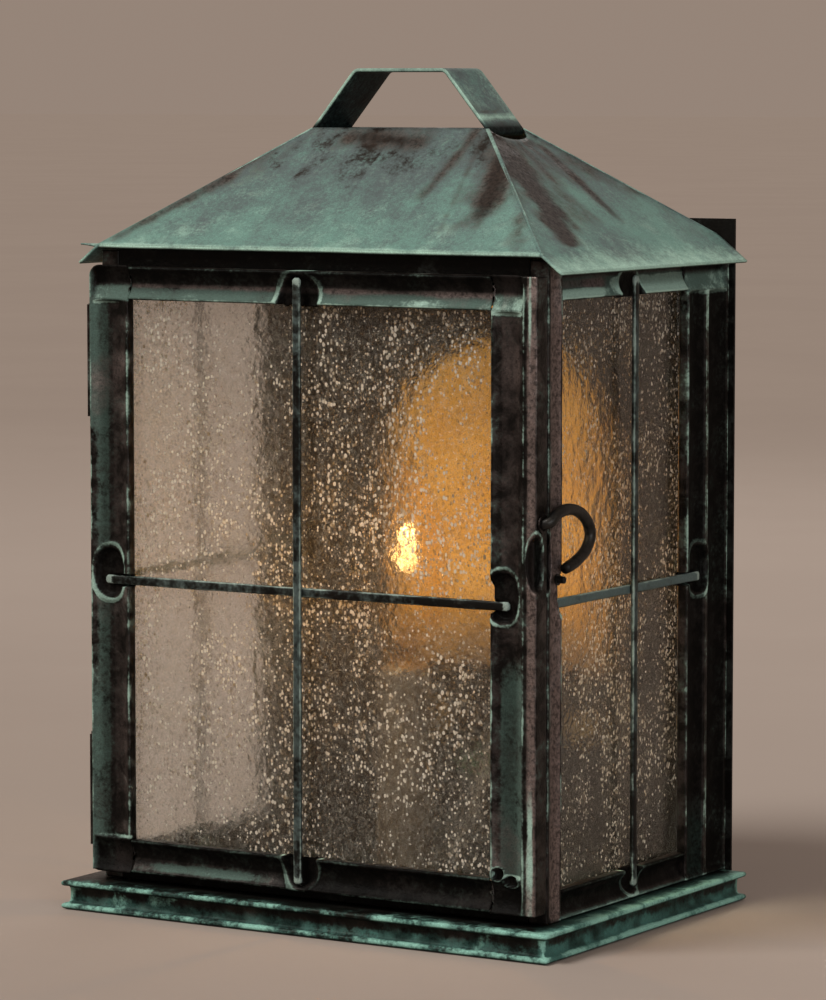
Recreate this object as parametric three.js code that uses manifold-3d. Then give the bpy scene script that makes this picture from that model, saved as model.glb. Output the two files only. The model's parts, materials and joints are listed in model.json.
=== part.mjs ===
// Outdoor wall lantern: a glazed sheet-metal body with a hipped roof, a hinged front door with a
// wire hook latch, and a candle lamp inside. Millimetres, +Z up.
//
// Everything is drawn from the tray's top surface (z = 0), the middle of the door (x = 0) and the
// front face of the door (y = 0), with +Y running back to the wall. The whole group is then moved so
// that the origin is the middle of the back plate's wall face.
import * as THREE from 'three';
import { mergeVertices } from 'three/addons/utils/BufferGeometryUtils.js';
import Module from 'manifold-3d';

const wasm = await Module();
wasm.setup();

// --- Driving dimensions --------------------------------------------------------------------------
const HALF_WIDTH = 101.5;        // half the width of the door and body
const DEPTH = 153.6;             // front face of the door to the wall
const MOUNT_HEIGHT = 125;        // middle of the wall face above the tray's top
const GAP = 0.3;                 // clearance between touching pieces
const SHEET = 0.8;               // frame sheet
const ROOF_SHEET = 1;

const DOOR = { bottom: 4.4, top: 243.2, hingeStile: 18.6, latchStile: 20, topRail: 12.9, bottomRail: 13.1 };
const SIDE = {
  front: 8.8, back: 152.3, bottom: 0.3, top: 249,
  frontStile: 10.8, rearStile: 34.2, topRail: 15.3, bottomRail: 11.5,
};
const MEMBER = { depth: 8.2, lip: 4, backLipSetback: 4 };
const GLASS = { front: 4.3, back: 6.9, tuck: 6 };
const BAR = {
  verticalWidth: 3.6, verticalOut: 0.6, verticalIn: 1.4,
  horizontalHeight: 3.8, horizontalFrom: 1.7, horizontalTo: 4,
};

const TRAY = { side: 9.3, front: 8.2, height: 11.3, lip: 1.2, web: 2.4 };
const PLATE = { halfWidth: 103.6, front: 152.6, top: 260.9, bottom: -11.3 };
const HEM = { x: 100.4, y: 4.7, z: 251.6 };
const SKIRT = { x: 109.5, z: 244.1 };
const RIDGE = { halfLength: 40.4, front: 67.2, back: 94.4, z: 296.9 };
const STRAP = { halfWidth: 13.5, thickness: 1.5, topHalfLength: 20.3, top: 320.2 };

const HINGE = { x: -104.5, y: 8.5, radius: 2.6, bore: 1.4, pin: 1.1, height: 44 };
const HINGE_HEIGHTS = { lower: 36, upper: 206 };
const LATCH = { y: 4.2, z: 151.5, plane: 105, radius: 2.25 };
const LAMP = { y: 72.8, sleeveTop: 84 };
const FIXING = { x: 35, z: 52, hole: 2.8 };
const WIRE = { z: 52, radius: 1.1 };

// --- Finishes ------------------------------------------------------------------------------------
const FINISH = {
  frame: { color: 0x2c3a33, roughness: 0.62, metalness: 0.55 },
  roof: { color: 0x5b8474, roughness: 0.7, metalness: 0.4 },
  tray: { color: 0x3f5f50, roughness: 0.68, metalness: 0.45 },
  bar: { color: 0x24332c, roughness: 0.55, metalness: 0.6 },
  latch: { color: 0x171a18, roughness: 0.45, metalness: 0.7 },
  pane: { color: 0xcfc8b4, roughness: 0.12, metalness: 0, transparent: true, opacity: 0.4 },
  reflector: { color: 0xc98a35, roughness: 0.25, metalness: 0.9 },
  brass: { color: 0xa9813c, roughness: 0.35, metalness: 0.9 },
  steel: { color: 0x9a9d9c, roughness: 0.4, metalness: 0.9 },
  sleeve: { color: 0x3b3226, roughness: 0.55, metalness: 0.4 },
  phenolic: { color: 0x1c1a18, roughness: 0.5, metalness: 0 },
  bulb: { color: 0xfff1cf, roughness: 0.05, metalness: 0, transparent: true, opacity: 0.35 },
  filament: { color: 0xffb347, roughness: 0.4, metalness: 0.6 },
  rubber: { color: 0x161616, roughness: 0.8, metalness: 0 },
  wireBlack: { color: 0x1a1a1a, roughness: 0.6, metalness: 0 },
  wireWhite: { color: 0xd8d4c8, roughness: 0.6, metalness: 0 },
  earth: { color: 0x3f7f45, roughness: 0.45, metalness: 0.6 },
};

// --- Shape helpers -------------------------------------------------------------------------------
const X = new THREE.Vector3(1, 0, 0);
const Y = new THREE.Vector3(0, 1, 0);
const Z = new THREE.Vector3(0, 0, 1);

/** A closed outline through [a, b] pairs. */
function outline(points) {
  return new THREE.Shape(points.map(([a, b]) => new THREE.Vector2(a, b)));
}

function extrude(shape, from, to, curveSegments = 10) {
  return new THREE.ExtrudeGeometry(shape, { depth: to - from, bevelEnabled: false, curveSegments });
}

/** Extrudes an outline drawn in (x, y) along Z. */
function alongZ(shape, from, to, curveSegments) {
  return extrude(shape, from, to, curveSegments).translate(0, 0, from);
}

/** Extrudes an outline drawn in (y, z) along X. */
function alongX(shape, from, to, curveSegments) {
  const turn = new THREE.Matrix4().makeBasis(Y, Z, X);
  return extrude(shape, from, to, curveSegments).applyMatrix4(turn).translate(from, 0, 0);
}

/** Extrudes an outline drawn in (x, z) along Y. */
function alongY(shape, from, to, curveSegments) {
  const turn = new THREE.Matrix4().makeBasis(X, Z, Y.clone().negate());
  return extrude(shape, from, to, curveSegments).applyMatrix4(turn).translate(0, to, 0);
}

/** A box from its [low, high] pair on each axis. */
function block(x, y, z) {
  const box = new THREE.BoxGeometry(x[1] - x[0], y[1] - y[0], z[1] - z[0]);
  return box.translate((x[0] + x[1]) / 2, (y[0] + y[1]) / 2, (z[0] + z[1]) / 2);
}

/** Turns [radius, height] pairs about a line through `at` along `axis`; height runs along the axis. */
function turned(profile, at, axis = 'z', segments = 24) {
  const lathe = new THREE.LatheGeometry(profile.map(([r, h]) => new THREE.Vector2(r, h)), segments);
  if (axis === 'x') {
    lathe.rotateZ(-Math.PI / 2);
  } else if (axis === 'z') {
    lathe.rotateX(Math.PI / 2);
  }
  return lathe.translate(...at);
}

function rod(radius, from, to, at, axis = 'z', segments = 24) {
  return turned([[0, from], [radius, from], [radius, to], [0, to]], at, axis, segments);
}

function ring(inner, outer, from, to, at, axis = 'z', segments = 24) {
  return turned([[inner, from], [outer, from], [outer, to], [inner, to], [inner, from]], at, axis, segments);
}

/** A round wire of the given radius along a smooth curve through the points. */
function wire(points, radius, steps, sides = 8) {
  const section = new THREE.Shape().absarc(0, 0, radius, 0, 2 * Math.PI);
  const path = new THREE.CatmullRomCurve3(points.map((p) => new THREE.Vector3(...p)), false, 'centripetal');
  return new THREE.ExtrudeGeometry(section, { steps, extrudePath: path, curveSegments: sides / 2 });
}

/** The outline of a bent sheet whose outer surface follows the points; the sheet lies to their right. */
function bentSheet(points, thickness) {
  const outer = points.map(([a, b]) => new THREE.Vector2(a, b));
  const normals = outer.slice(1).map((point, i) => {
    const along = point.clone().sub(outer[i]).normalize();
    return new THREE.Vector2(along.y, -along.x);
  });
  const inner = outer.map((point, i) => {
    const before = normals[Math.max(i - 1, 0)];
    const after = normals[Math.min(i, normals.length - 1)];
    const mitre = before.clone().add(after).multiplyScalar(thickness / (1 + before.dot(after)));
    return point.clone().add(mitre);
  });
  return new THREE.Shape([...outer, ...inner.reverse()]);
}

// --- Booleans ------------------------------------------------------------------------------------
function toSolid(geometry) {
  const bare = geometry.clone();
  bare.deleteAttribute('normal');
  bare.deleteAttribute('uv');
  const merged = mergeVertices(bare, 1e-4);
  return new wasm.Manifold(new wasm.Mesh({
    numProp: 3,
    vertProperties: merged.attributes.position.array,
    triVerts: Uint32Array.from(merged.index.array),
  }));
}

function toGeometry(solid) {
  const mesh = solid.getMesh();
  const geometry = new THREE.BufferGeometry();
  geometry.setAttribute('position', new THREE.BufferAttribute(mesh.vertProperties, 3));
  geometry.setIndex(new THREE.BufferAttribute(mesh.triVerts, 1));
  return geometry;
}

function cut(base, ...tools) {
  return toGeometry(tools.reduce((solid, tool) => solid.subtract(toSolid(tool)), toSolid(base)));
}

function join(first, ...others) {
  return toGeometry(others.reduce((solid, other) => solid.add(toSolid(other)), toSolid(first)));
}

function common(first, second) {
  return toGeometry(toSolid(first).intersect(toSolid(second)));
}

// --- The assembly --------------------------------------------------------------------------------
const lantern = new THREE.Group();
lantern.position.set(0, -DEPTH, -MOUNT_HEIGHT);

function add(name, geometry, finish) {
  const mesh = new THREE.Mesh(geometry, new THREE.MeshStandardMaterial(FINISH[finish]));
  mesh.name = name;
  lantern.add(mesh);
}

// --- Frame members -------------------------------------------------------------------------------
/**
 * The section of a frame member: a flat face with a deep fold at its outer edge, a short lip at the
 * glass edge and a back lip that holds the pane. `faceFirst` puts the inward direction on the first axis.
 */
function member({ edge, toGlass, face, inward, width, faceFirst }) {
  const { depth, lip, backLipSetback } = MEMBER;
  const backLip = width - backLipSetback;
  const section = [
    [0, 0], [width, 0], [width, lip], [width - SHEET, lip], [width - SHEET, SHEET], [SHEET, SHEET],
    [SHEET, depth - SHEET], [backLip, depth - SHEET], [backLip, depth], [0, depth],
  ];
  return outline(section.map(([u, v]) => {
    const across = edge + toGlass * u;
    const deep = face + inward * v;
    return faceFirst ? [deep, across] : [across, deep];
  }));
}

/** A flat glazing bar's section: a chamfered rectangle from its [low, high] pair on each axis. */
function barSection(a, b, chamfer = 0.6) {
  return outline([
    [a[0] + chamfer, b[0]], [a[1] - chamfer, b[0]], [a[1], b[0] + chamfer], [a[1], b[1] - chamfer],
    [a[1] - chamfer, b[1]], [a[0] + chamfer, b[1]], [a[0], b[1] - chamfer], [a[0], b[0] + chamfer],
  ]);
}

/** An oval cutter through the face and lip of a member, which leaves its back lip whole. */
function pocket({ face, inward, centre, radii, axis }) {
  const reach = MEMBER.lip + 1;
  const oval = new THREE.CylinderGeometry(1, 1, 2 * reach, 24);
  const [a, b] = centre;
  if (axis === 'y') {
    return oval.scale(radii[0], 1, radii[1]).translate(a, face + inward * (MEMBER.lip - reach + 0.1), b);
  }
  return oval.rotateZ(Math.PI / 2).scale(1, radii[0], radii[1])
    .translate(face + inward * (MEMBER.lip - reach + 0.1), a, b);
}

function span(low, high) {
  return low < high ? [low, high] : [high, low];
}

// --- Door ----------------------------------------------------------------------------------------
const doorMid = -4.4;            // vertical bar, a little left of the middle
const doorBarHeight = 120;       // horizontal bar, low in its pockets
const doorGlassEdge = { left: -HALF_WIDTH + DOOR.hingeStile, right: HALF_WIDTH - DOOR.latchStile };

function buildDoor() {
  const face = { face: 0, inward: 1 };
  const notch = [doorBarHeight - 2.2, doorBarHeight + 2.2];
  const notchDepth = [-1, MEMBER.lip + 0.1];

  const hingeStile = alongZ(member({ ...face, edge: -HALF_WIDTH, toGlass: 1, width: DOOR.hingeStile }),
    DOOR.bottom, DOOR.top);
  add('door_hinge_stile', cut(hingeStile,
    pocket({ ...face, axis: 'y', centre: [-93.6, doorBarHeight + 2.9], radii: [6.6, 10.4] }),
    block([-94, doorGlassEdge.left + 1], notchDepth, notch)), 'frame');

  const latchStile = alongZ(member({ ...face, edge: HALF_WIDTH, toGlass: -1, width: DOOR.latchStile }),
    DOOR.bottom, DOOR.top);
  const cornerSlot = new THREE.SphereGeometry(1, 16, 10).scale(3.2, 4, 11.3).translate(HALF_WIDTH, 0, 136.5);
  const shankHole = rod(LATCH.radius + 0.35, -3, 3, [HALF_WIDTH, LATCH.y, LATCH.z], 'x', 16);
  add('door_latch_stile', cut(latchStile,
    pocket({ ...face, axis: 'y', centre: [86.8, doorBarHeight + 3.9], radii: [6.2, 9.2] }),
    block([doorGlassEdge.right - 1, 87], notchDepth, notch), cornerSlot, shankHole), 'frame');

  const railSpan = [doorGlassEdge.left + GAP, doorGlassEdge.right - GAP];
  const topRail = alongX(member({
    ...face, edge: DOOR.top, toGlass: -1, width: DOOR.topRail, faceFirst: true,
  }), ...railSpan);
  add('door_top_rail', cut(topRail, pocket({ ...face, axis: 'y', centre: [doorMid, DOOR.top - DOOR.topRail],
    radii: [9.5, 11.8] })), 'frame');

  const bottomRail = alongX(member({
    ...face, edge: DOOR.bottom, toGlass: 1, width: DOOR.bottomRail, faceFirst: true,
  }), ...railSpan);
  add('door_bottom_rail', cut(bottomRail, pocket({ ...face, axis: 'y',
    centre: [doorMid + 0.6, DOOR.bottom + DOOR.bottomRail], radii: [8, 13] })), 'frame');

  const vertical = barSection([doorMid - BAR.verticalWidth / 2, doorMid + BAR.verticalWidth / 2],
    [-BAR.verticalOut, BAR.verticalIn]);
  add('door_vertical_bar', alongZ(vertical, DOOR.bottom + 2.6, DOOR.top - 2.6), 'bar');
  const horizontal = barSection([BAR.horizontalFrom, BAR.horizontalTo],
    [doorBarHeight - BAR.horizontalHeight / 2, doorBarHeight + BAR.horizontalHeight / 2]);
  add('door_horizontal_bar', alongX(horizontal, -95.5, 88.5), 'bar');

  add('door_glass', block([doorGlassEdge.left - GLASS.tuck, doorGlassEdge.right + GLASS.tuck],
    [GLASS.front, GLASS.back],
    [DOOR.bottom + DOOR.bottomRail - GLASS.tuck, DOOR.top - DOOR.topRail + GLASS.tuck]), 'pane');
}

// --- Side frames ---------------------------------------------------------------------------------
const sideMid = 76;              // vertical bar, from the door's face
const sideBarHeight = 120.3;     // horizontal bar

function buildSide(name, side) {
  const face = { face: side * HALF_WIDTH, inward: -side };
  const depthSpan = (from, to) => span(face.face + face.inward * from, face.face + face.inward * to);
  const notchDepth = depthSpan(-1, MEMBER.lip + 0.1);
  const notch = [sideBarHeight - 2.2, sideBarHeight + 2.2];
  const glassEdge = {
    front: SIDE.front + SIDE.frontStile,
    back: SIDE.back - SIDE.rearStile,
    bottom: SIDE.bottom + SIDE.bottomRail,
    top: SIDE.top - SIDE.topRail,
  };

  const frontStile = alongZ(member({
    ...face, edge: SIDE.front, toGlass: 1, width: SIDE.frontStile, faceFirst: true,
  }), SIDE.bottom, SIDE.top);
  add(`side_${name}_front_stile`, cut(frontStile,
    block(notchDepth, [glassEdge.front - 4, glassEdge.front + 1], notch)), 'frame');

  const rearStile = alongZ(member({
    ...face, edge: SIDE.back, toGlass: -1, width: SIDE.rearStile, faceFirst: true,
  }), SIDE.bottom, SIDE.top);
  add(`side_${name}_rear_stile`, cut(rearStile,
    pocket({ ...face, axis: 'x', centre: [130, sideBarHeight + 3.2], radii: [6.5, 10.5] }),
    block(notchDepth, [glassEdge.back - 1, 130], notch)), 'frame');

  const railSpan = [glassEdge.front + GAP, glassEdge.back - GAP];
  const topRail = alongY(member({
    ...face, edge: SIDE.top, toGlass: -1, width: SIDE.topRail, faceFirst: true,
  }), ...railSpan);
  add(`side_${name}_top_rail`, cut(topRail,
    pocket({ ...face, axis: 'x', centre: [sideMid - 2, glassEdge.top], radii: [9, 9.5] })), 'frame');

  const bottomRail = alongY(member({
    ...face, edge: SIDE.bottom, toGlass: 1, width: SIDE.bottomRail, faceFirst: true,
  }), ...railSpan);
  add(`side_${name}_bottom_rail`, cut(bottomRail,
    pocket({ ...face, axis: 'x', centre: [sideMid, glassEdge.bottom], radii: [6.5, 9.5] })), 'frame');

  const vertical = barSection(depthSpan(-BAR.verticalOut, BAR.verticalIn),
    [sideMid - BAR.verticalWidth / 2, sideMid + BAR.verticalWidth / 2]);
  add(`side_${name}_vertical_bar`, alongZ(vertical, glassEdge.bottom - 7, glassEdge.top + 7.5), 'bar');
  const horizontal = barSection(depthSpan(BAR.horizontalFrom, BAR.horizontalTo),
    [sideBarHeight - BAR.horizontalHeight / 2, sideBarHeight + BAR.horizontalHeight / 2]);
  add(`side_${name}_horizontal_bar`, alongY(horizontal, glassEdge.front - 3.5, 132.5), 'bar');

  add(`side_${name}_glass`, block(depthSpan(GLASS.front, GLASS.back),
    [glassEdge.front - GLASS.tuck, glassEdge.back + GLASS.tuck],
    [glassEdge.bottom - GLASS.tuck, glassEdge.top + GLASS.tuck]), 'pane');
}

// --- Tray, back plate and the members that the door closes against --------------------------------
function buildTray() {
  const half = HALF_WIDTH + TRAY.side;
  const back = PLATE.front - GAP;
  const footprint = (inset, z) => block([inset - half, half - inset], [inset - TRAY.front, back - inset], z);
  const deck = footprint(0, [-TRAY.lip, 0]);
  const web = cut(footprint(TRAY.web, [-TRAY.height, -SHEET]), footprint(TRAY.web + ROOF_SHEET, [-20, 20]));
  const lowerLip = cut(footprint(0, [-TRAY.height, -TRAY.height + TRAY.lip]), footprint(9, [-20, 20]));
  const stemHole = rod(5.4, -4, 4, [0, LAMP.y, 0]);
  add('base_tray', cut(join(deck, web, lowerLip), stemHole), 'tray');
}

function buildBackPlate() {
  const { halfWidth, front, bottom, top } = PLATE;
  const plate = block([-halfWidth, halfWidth], [front, DEPTH], [bottom, top]);
  const holes = [-1, 1].map((side) => rod(FIXING.hole, -3, 3, [side * FIXING.x, DEPTH, FIXING.z], 'y', 16));
  const wireHole = rod(6.8, -3, 3, [0, DEPTH, WIRE.z], 'y');
  add('back_plate', cut(plate, ...holes, wireHole), 'frame');
}

function buildDoorStops() {
  const front = 9.1;
  const back = 19.3;
  const reach = HALF_WIDTH - MEMBER.depth - GAP;
  const headerTop = 252.3;
  const sill = [[front, 12], [front, 0.3], [back, 0.3]];
  const header = [[back, headerTop], [front, headerTop], [front, 239]];
  add('front_sill', alongX(bentSheet([...sill].reverse(), ROOF_SHEET), -reach, reach), 'frame');
  add('front_header', alongX(bentSheet([...header].reverse(), ROOF_SHEET), -reach, reach), 'frame');
}

// --- Roof ----------------------------------------------------------------------------------------
const frontPitch = (RIDGE.z - HEM.z) / (RIDGE.front - HEM.y);
const endPitch = (RIDGE.z - HEM.z) / (HEM.x - RIDGE.halfLength);
const roofBack = PLATE.front - GAP;
const roofBackHeight = RIDGE.z - (roofBack - RIDGE.back) * frontPitch;

function buildRoofCover() {
  const hem = 1.7;
  const slopes = bentSheet([
    [HEM.y, HEM.z - hem], [HEM.y, HEM.z], [RIDGE.front, RIDGE.z],
    [RIDGE.back, RIDGE.z], [roofBack, roofBackHeight],
  ], ROOF_SHEET);
  // The end panels lap over the cover's cut edges, so it stops inside their inner faces.
  const inset = (ROOF_SHEET + GAP) / Math.sin(Math.atan(endPitch));
  const low = HEM.z - 10;
  const lowX = HEM.x - inset + 10 / endPitch;
  const highX = RIDGE.halfLength - inset;
  const limits = outline([
    [-lowX, low], [lowX, low], [highX, RIDGE.z],
    [highX, RIDGE.z + 1], [-highX, RIDGE.z + 1], [-highX, RIDGE.z],
  ]);
  const bent = common(alongX(slopes, -HALF_WIDTH - 20, HALF_WIDTH + 20), alongY(limits, -20, DEPTH + 20));
  const strapSlot = (side) => block(span(side * 36.5, side * 60),
    [RIDGE.front - GAP, RIDGE.back + GAP], [RIDGE.z - 12, RIDGE.z + 5]);
  add('roof_cover', cut(bent, strapSlot(-1), strapSlot(1)), 'roof');
}

function buildRoofEnd(name, side) {
  const topX = 41.3;
  const topZ = RIDGE.z - (topX - RIDGE.halfLength) * endPitch;
  const drop = (SKIRT.z - HEM.z) / (SKIRT.x - HEM.x);
  const beyond = [SKIRT.x + 1, SKIRT.z + drop];
  const section = [[topX, topZ], [HEM.x, HEM.z], beyond].map(([x, z]) => [side * x, z]);
  const panel = alongY(bentSheet(side > 0 ? section : section.reverse(), ROOF_SHEET), -20, DEPTH + 20);
  const limits = outline([
    [HEM.y, SKIRT.z], [HEM.y, HEM.z], [RIDGE.front, RIDGE.z],
    [RIDGE.back, RIDGE.z], [roofBack, roofBackHeight], [roofBack, SKIRT.z],
  ]);
  // The top edge is dished between the hips, which leaves a vent beside the strap's foot.
  const dish = new THREE.CylinderGeometry(1, 1, 40, 24).rotateX(Math.PI / 2)
    .rotateZ(Math.PI / 2).scale(5.2, STRAP.halfWidth - 0.5, 1)
    .translate(side * topX, (RIDGE.front + RIDGE.back) / 2, RIDGE.z);
  const trimmed = common(panel, alongX(limits, -HALF_WIDTH - 20, HALF_WIDTH + 20));
  add(`roof_end_${name}`, cut(trimmed, dish), 'roof');
}

function buildStrap() {
  const foot = [[27, 293.9], [39.6, 293.9], [40.4, 294.9]];
  const half = [...foot, [STRAP.topHalfLength, STRAP.top]];
  const path = [...half.map(([x, z]) => [-x, z]), ...[...half].reverse()];
  const middle = (RIDGE.front + RIDGE.back) / 2;
  const strip = bentSheet(path, STRAP.thickness);
  add('strap_handle', alongY(strip, middle - STRAP.halfWidth, middle + STRAP.halfWidth), 'roof');
}

// --- Hinges --------------------------------------------------------------------------------------
function buildHinge(name, centre) {
  const { x, y, radius, bore, pin, height } = HINGE;
  const low = centre - height / 2;
  const third = height / 3;
  const leafX = [-102.8, -101.8];
  const knuckle = (from, to) => rod(radius, from, to, [x, y, 0], 'z', 16);
  const boreTool = rod(bore, low - 5, low + height + 5, [x, y, 0], 'z', 16);
  const clear = radius + 0.5;

  const outerKnuckles = [[low, low + third - GAP / 2], [low + 2 * third + GAP / 2, low + height]];
  const bodyPlate = block(leafX, [y + clear, 19], [low, low + height]);
  const bodyTongues = outerKnuckles.map((z) => join(knuckle(...z), block(leafX, [y, y + clear + 0.1], z)));
  add(`hinge_${name}_body_leaf`, cut(join(bodyPlate, ...bodyTongues), boreTool), 'frame');

  const middleKnuckle = [low + third + GAP / 2, low + 2 * third - GAP / 2];
  const doorPlate = block(leafX, [0.8, y - clear], [low, low + height]);
  const doorTongue = join(knuckle(...middleKnuckle), block(leafX, [y - clear - 0.1, y], middleKnuckle));
  add(`hinge_${name}_door_leaf`, cut(join(doorPlate, doorTongue), boreTool), 'frame');

  add(`hinge_${name}_pin`, turned([[0, low - 1], [pin, low - 1], [pin, low + height + GAP],
    [1.7, low + height + GAP], [1.7, low + height + 1.1], [0.9, low + height + 1.8], [0, low + height + 1.8]],
    [x, y, 0], 'z', 12), 'brass');
}

// --- Latch ---------------------------------------------------------------------------------------
function buildLatch() {
  const { plane, radius } = LATCH;
  const hook = [
    [96.5, LATCH.y, LATCH.z], [99.5, LATCH.y, LATCH.z], [102.4, LATCH.y, LATCH.z], [104.6, 5.6, 152.6],
    [plane, 9.4, 155], [plane, 17, 156.2], [plane, 25.5, 154.6], [plane, 32, 150.4], [plane, 34.4, 145],
    [plane, 30.6, 139.6], [plane, 23.4, 136.2], [plane, 15.2, 134],
  ];
  add('latch_hook', wire(hook, radius, 34), 'latch');
  const at = [0, LATCH.y, LATCH.z];
  add('latch_bush', ring(radius + 0.35, 3.6, HALF_WIDTH + GAP, HALF_WIDTH + 0.9, at, 'x', 16), 'frame');
  add('latch_keeper', turned([[0, HALF_WIDTH + GAP], [2.2, HALF_WIDTH + GAP], [2.2, HALF_WIDTH + 0.9],
    [1.4, HALF_WIDTH + 0.9], [1.4, plane], [0, plane + 0.6]], [0, 15, 129.9], 'x', 12), 'latch');
}

// --- Reflector -----------------------------------------------------------------------------------
function buildReflector() {
  const halfWidth = 50;
  const radius = 130;
  const back = 149.3;
  const springing = 161;
  const bottom = 76;
  const centre = back - radius;
  const swing = Math.asin(halfWidth / radius);
  const trough = new THREE.Shape()
    .absarc(0, centre, radius, Math.PI / 2 - swing, Math.PI / 2 + swing, false)
    .absarc(0, centre, radius - SHEET, Math.PI / 2 + swing, Math.PI / 2 - swing, true);
  const arch = new THREE.Shape()
    .moveTo(-halfWidth, bottom)
    .lineTo(halfWidth, bottom)
    .lineTo(halfWidth, springing)
    .absarc(0, springing, halfWidth, 0, Math.PI, false);
  const curved = common(alongZ(trough, bottom, springing + halfWidth, 16), alongY(arch, centre, DEPTH, 20));
  const rivets = { lower: 92, upper: 194 };
  const holes = Object.values(rivets).map((z) => rod(1.9, -3, 3, [0, back, z], 'y', 12));
  add('reflector', cut(curved, ...holes), 'reflector');
  for (const [name, z] of Object.entries(rivets)) {
    add(`reflector_rivet_${name}`, turned([[0, -2], [1.8, -1.9], [3.2, -1.1], [1.5, -1.1], [1.5, 3], [0, 3]],
      [0, back, z], 'y', 12), 'brass');
  }
}

// --- Lamp ----------------------------------------------------------------------------------------
function buildLamp() {
  const at = [0, LAMP.y, 0];
  add('lamp_saucer', ring(5.4, 16, 0.3, 2.4, at), 'sleeve');
  add('lamp_stem', rod(5, -6, 36.3, at, 'z', 16), 'steel');
  const nut = new THREE.CylinderGeometry(8, 8, 3.6, 6).rotateX(Math.PI / 2).translate(0, LAMP.y, -3.4);
  add('lamp_stem_nut', cut(nut, rod(5.3, -10, 10, at, 'z', 16)), 'steel');

  const leadNotch = block([-10, 10], [LAMP.y + 3, LAMP.y + 20], [0, 13]);
  add('candle_sleeve', cut(ring(10.3, 11.5, 2.7, LAMP.sleeveTop, at), leadNotch), 'sleeve');
  const holder = [[0, 36.6], [9.8, 36.6], [9.8, 80], [6.6, 80], [6.6, 50], [0, 50]];
  add('lamp_holder', turned(holder, at), 'phenolic');

  add('bulb_base', turned([[0, 50.6], [2.5, 50.6], [2.5, 52.4], [6, 55], [6, 80.3], [7.6, 80.6], [7.6, 84],
    [0, 84]], at), 'brass');
  const envelope = [[7.4, 84.3], [9.2, 90], [13.6, 100], [16.8, 112], [17.2, 122], [15, 136], [10.5, 149],
    [5.2, 160], [1.6, 166], [0, 168]];
  const hollow = [[0, 80], [6.3, 80], [6.3, 84.6], [8.1, 90.3], [12.5, 100.4], [15.7, 112.2], [16.1, 121.9],
    [13.9, 135.6], [9.5, 148.4], [4.2, 159.6], [0, 164]];
  add('bulb_glass', cut(turned([[0, 84.3], ...envelope], at), turned(hollow, at)), 'bulb');
  const stem = [[0, 84.3], [4.4, 84.3], [3.4, 92], [1.6, 104], [1.4, 112], [0, 112.6]];
  add('bulb_stem', turned(stem, at, 'z', 12), 'bulb');
  const hairpin = [[-2.6, 113.2], [-3.8, 124], [-2.4, 137], [0, 142], [2.4, 137], [3.8, 124], [2.6, 113.2]];
  add('bulb_filament', wire(hairpin.map(([x, z]) => [x, LAMP.y, z]), 0.5, 18, 6), 'filament');
}

// --- Wiring and fixings --------------------------------------------------------------------------
function buildWiring() {
  const at = [0, DEPTH, WIRE.z];
  add('wire_grommet', turned([[4.4, -3.2], [8.6, -3.2], [8.6, -1.3], [6.5, -1.3], [6.5, -0.1], [4.4, -0.1],
    [4.4, -3.2]], at, 'y'), 'rubber');
  for (const [name, side] of [['black', -1], ['white', 1]]) {
    const route = [
      [2.3, 153.4, 52], [2.3, 146, 52], [2.6, 138, 47], [3, 124, 26], [3.2, 109, 9.5], [3.8, 96, 5.6],
      [4.8, 86, 6.2], [6.3, 79.6, 9], [7.4, 75.4, 16], [7.6, 73, 26], [7.6, LAMP.y, 36.2],
    ];
    add(`lead_${name}`, wire(route.map(([x, y, z]) => [side * x, y, z]), WIRE.radius, 40),
      name === 'black' ? 'wireBlack' : 'wireWhite');
  }
}

function buildFixings() {
  for (const [name, side] of [['left', -1], ['right', 1]]) {
    const at = [side * FIXING.x, PLATE.front, FIXING.z];
    add(`mount_washer_${name}`, ring(2.8, 6.5, -1.3, -GAP, at, 'y'), 'brass');
    const hex = new THREE.CylinderGeometry(5, 5, 5, 6).translate(0, -4.2, 0);
    const dome = turned([[0, -10.4], [2.4, -9.8], [4, -8.2], [4.2, -6], [0, -6]], [0, 0, 0], 'y', 16);
    const bore = rod(2.3, -7.5, 2, [0, 0, 0], 'y', 16);
    add(`mount_cap_nut_${name}`, cut(join(hex, dome), bore).translate(...at), 'brass');
  }
  add('earth_screw', turned([[0, -3.4], [2, -3.3], [3.4, -2.2], [3.6, -GAP], [0, -GAP]],
    [-16, PLATE.front, 34], 'y', 16), 'earth');
}

buildTray();
buildBackPlate();
buildDoorStops();
buildSide('left', -1);
buildSide('right', 1);
buildDoor();
for (const [name, centre] of Object.entries(HINGE_HEIGHTS)) {
  buildHinge(name, centre);
}
buildRoofCover();
buildRoofEnd('left', -1);
buildRoofEnd('right', 1);
buildStrap();
buildLatch();
buildReflector();
buildLamp();
buildWiring();
buildFixings();

export default lantern;
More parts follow.
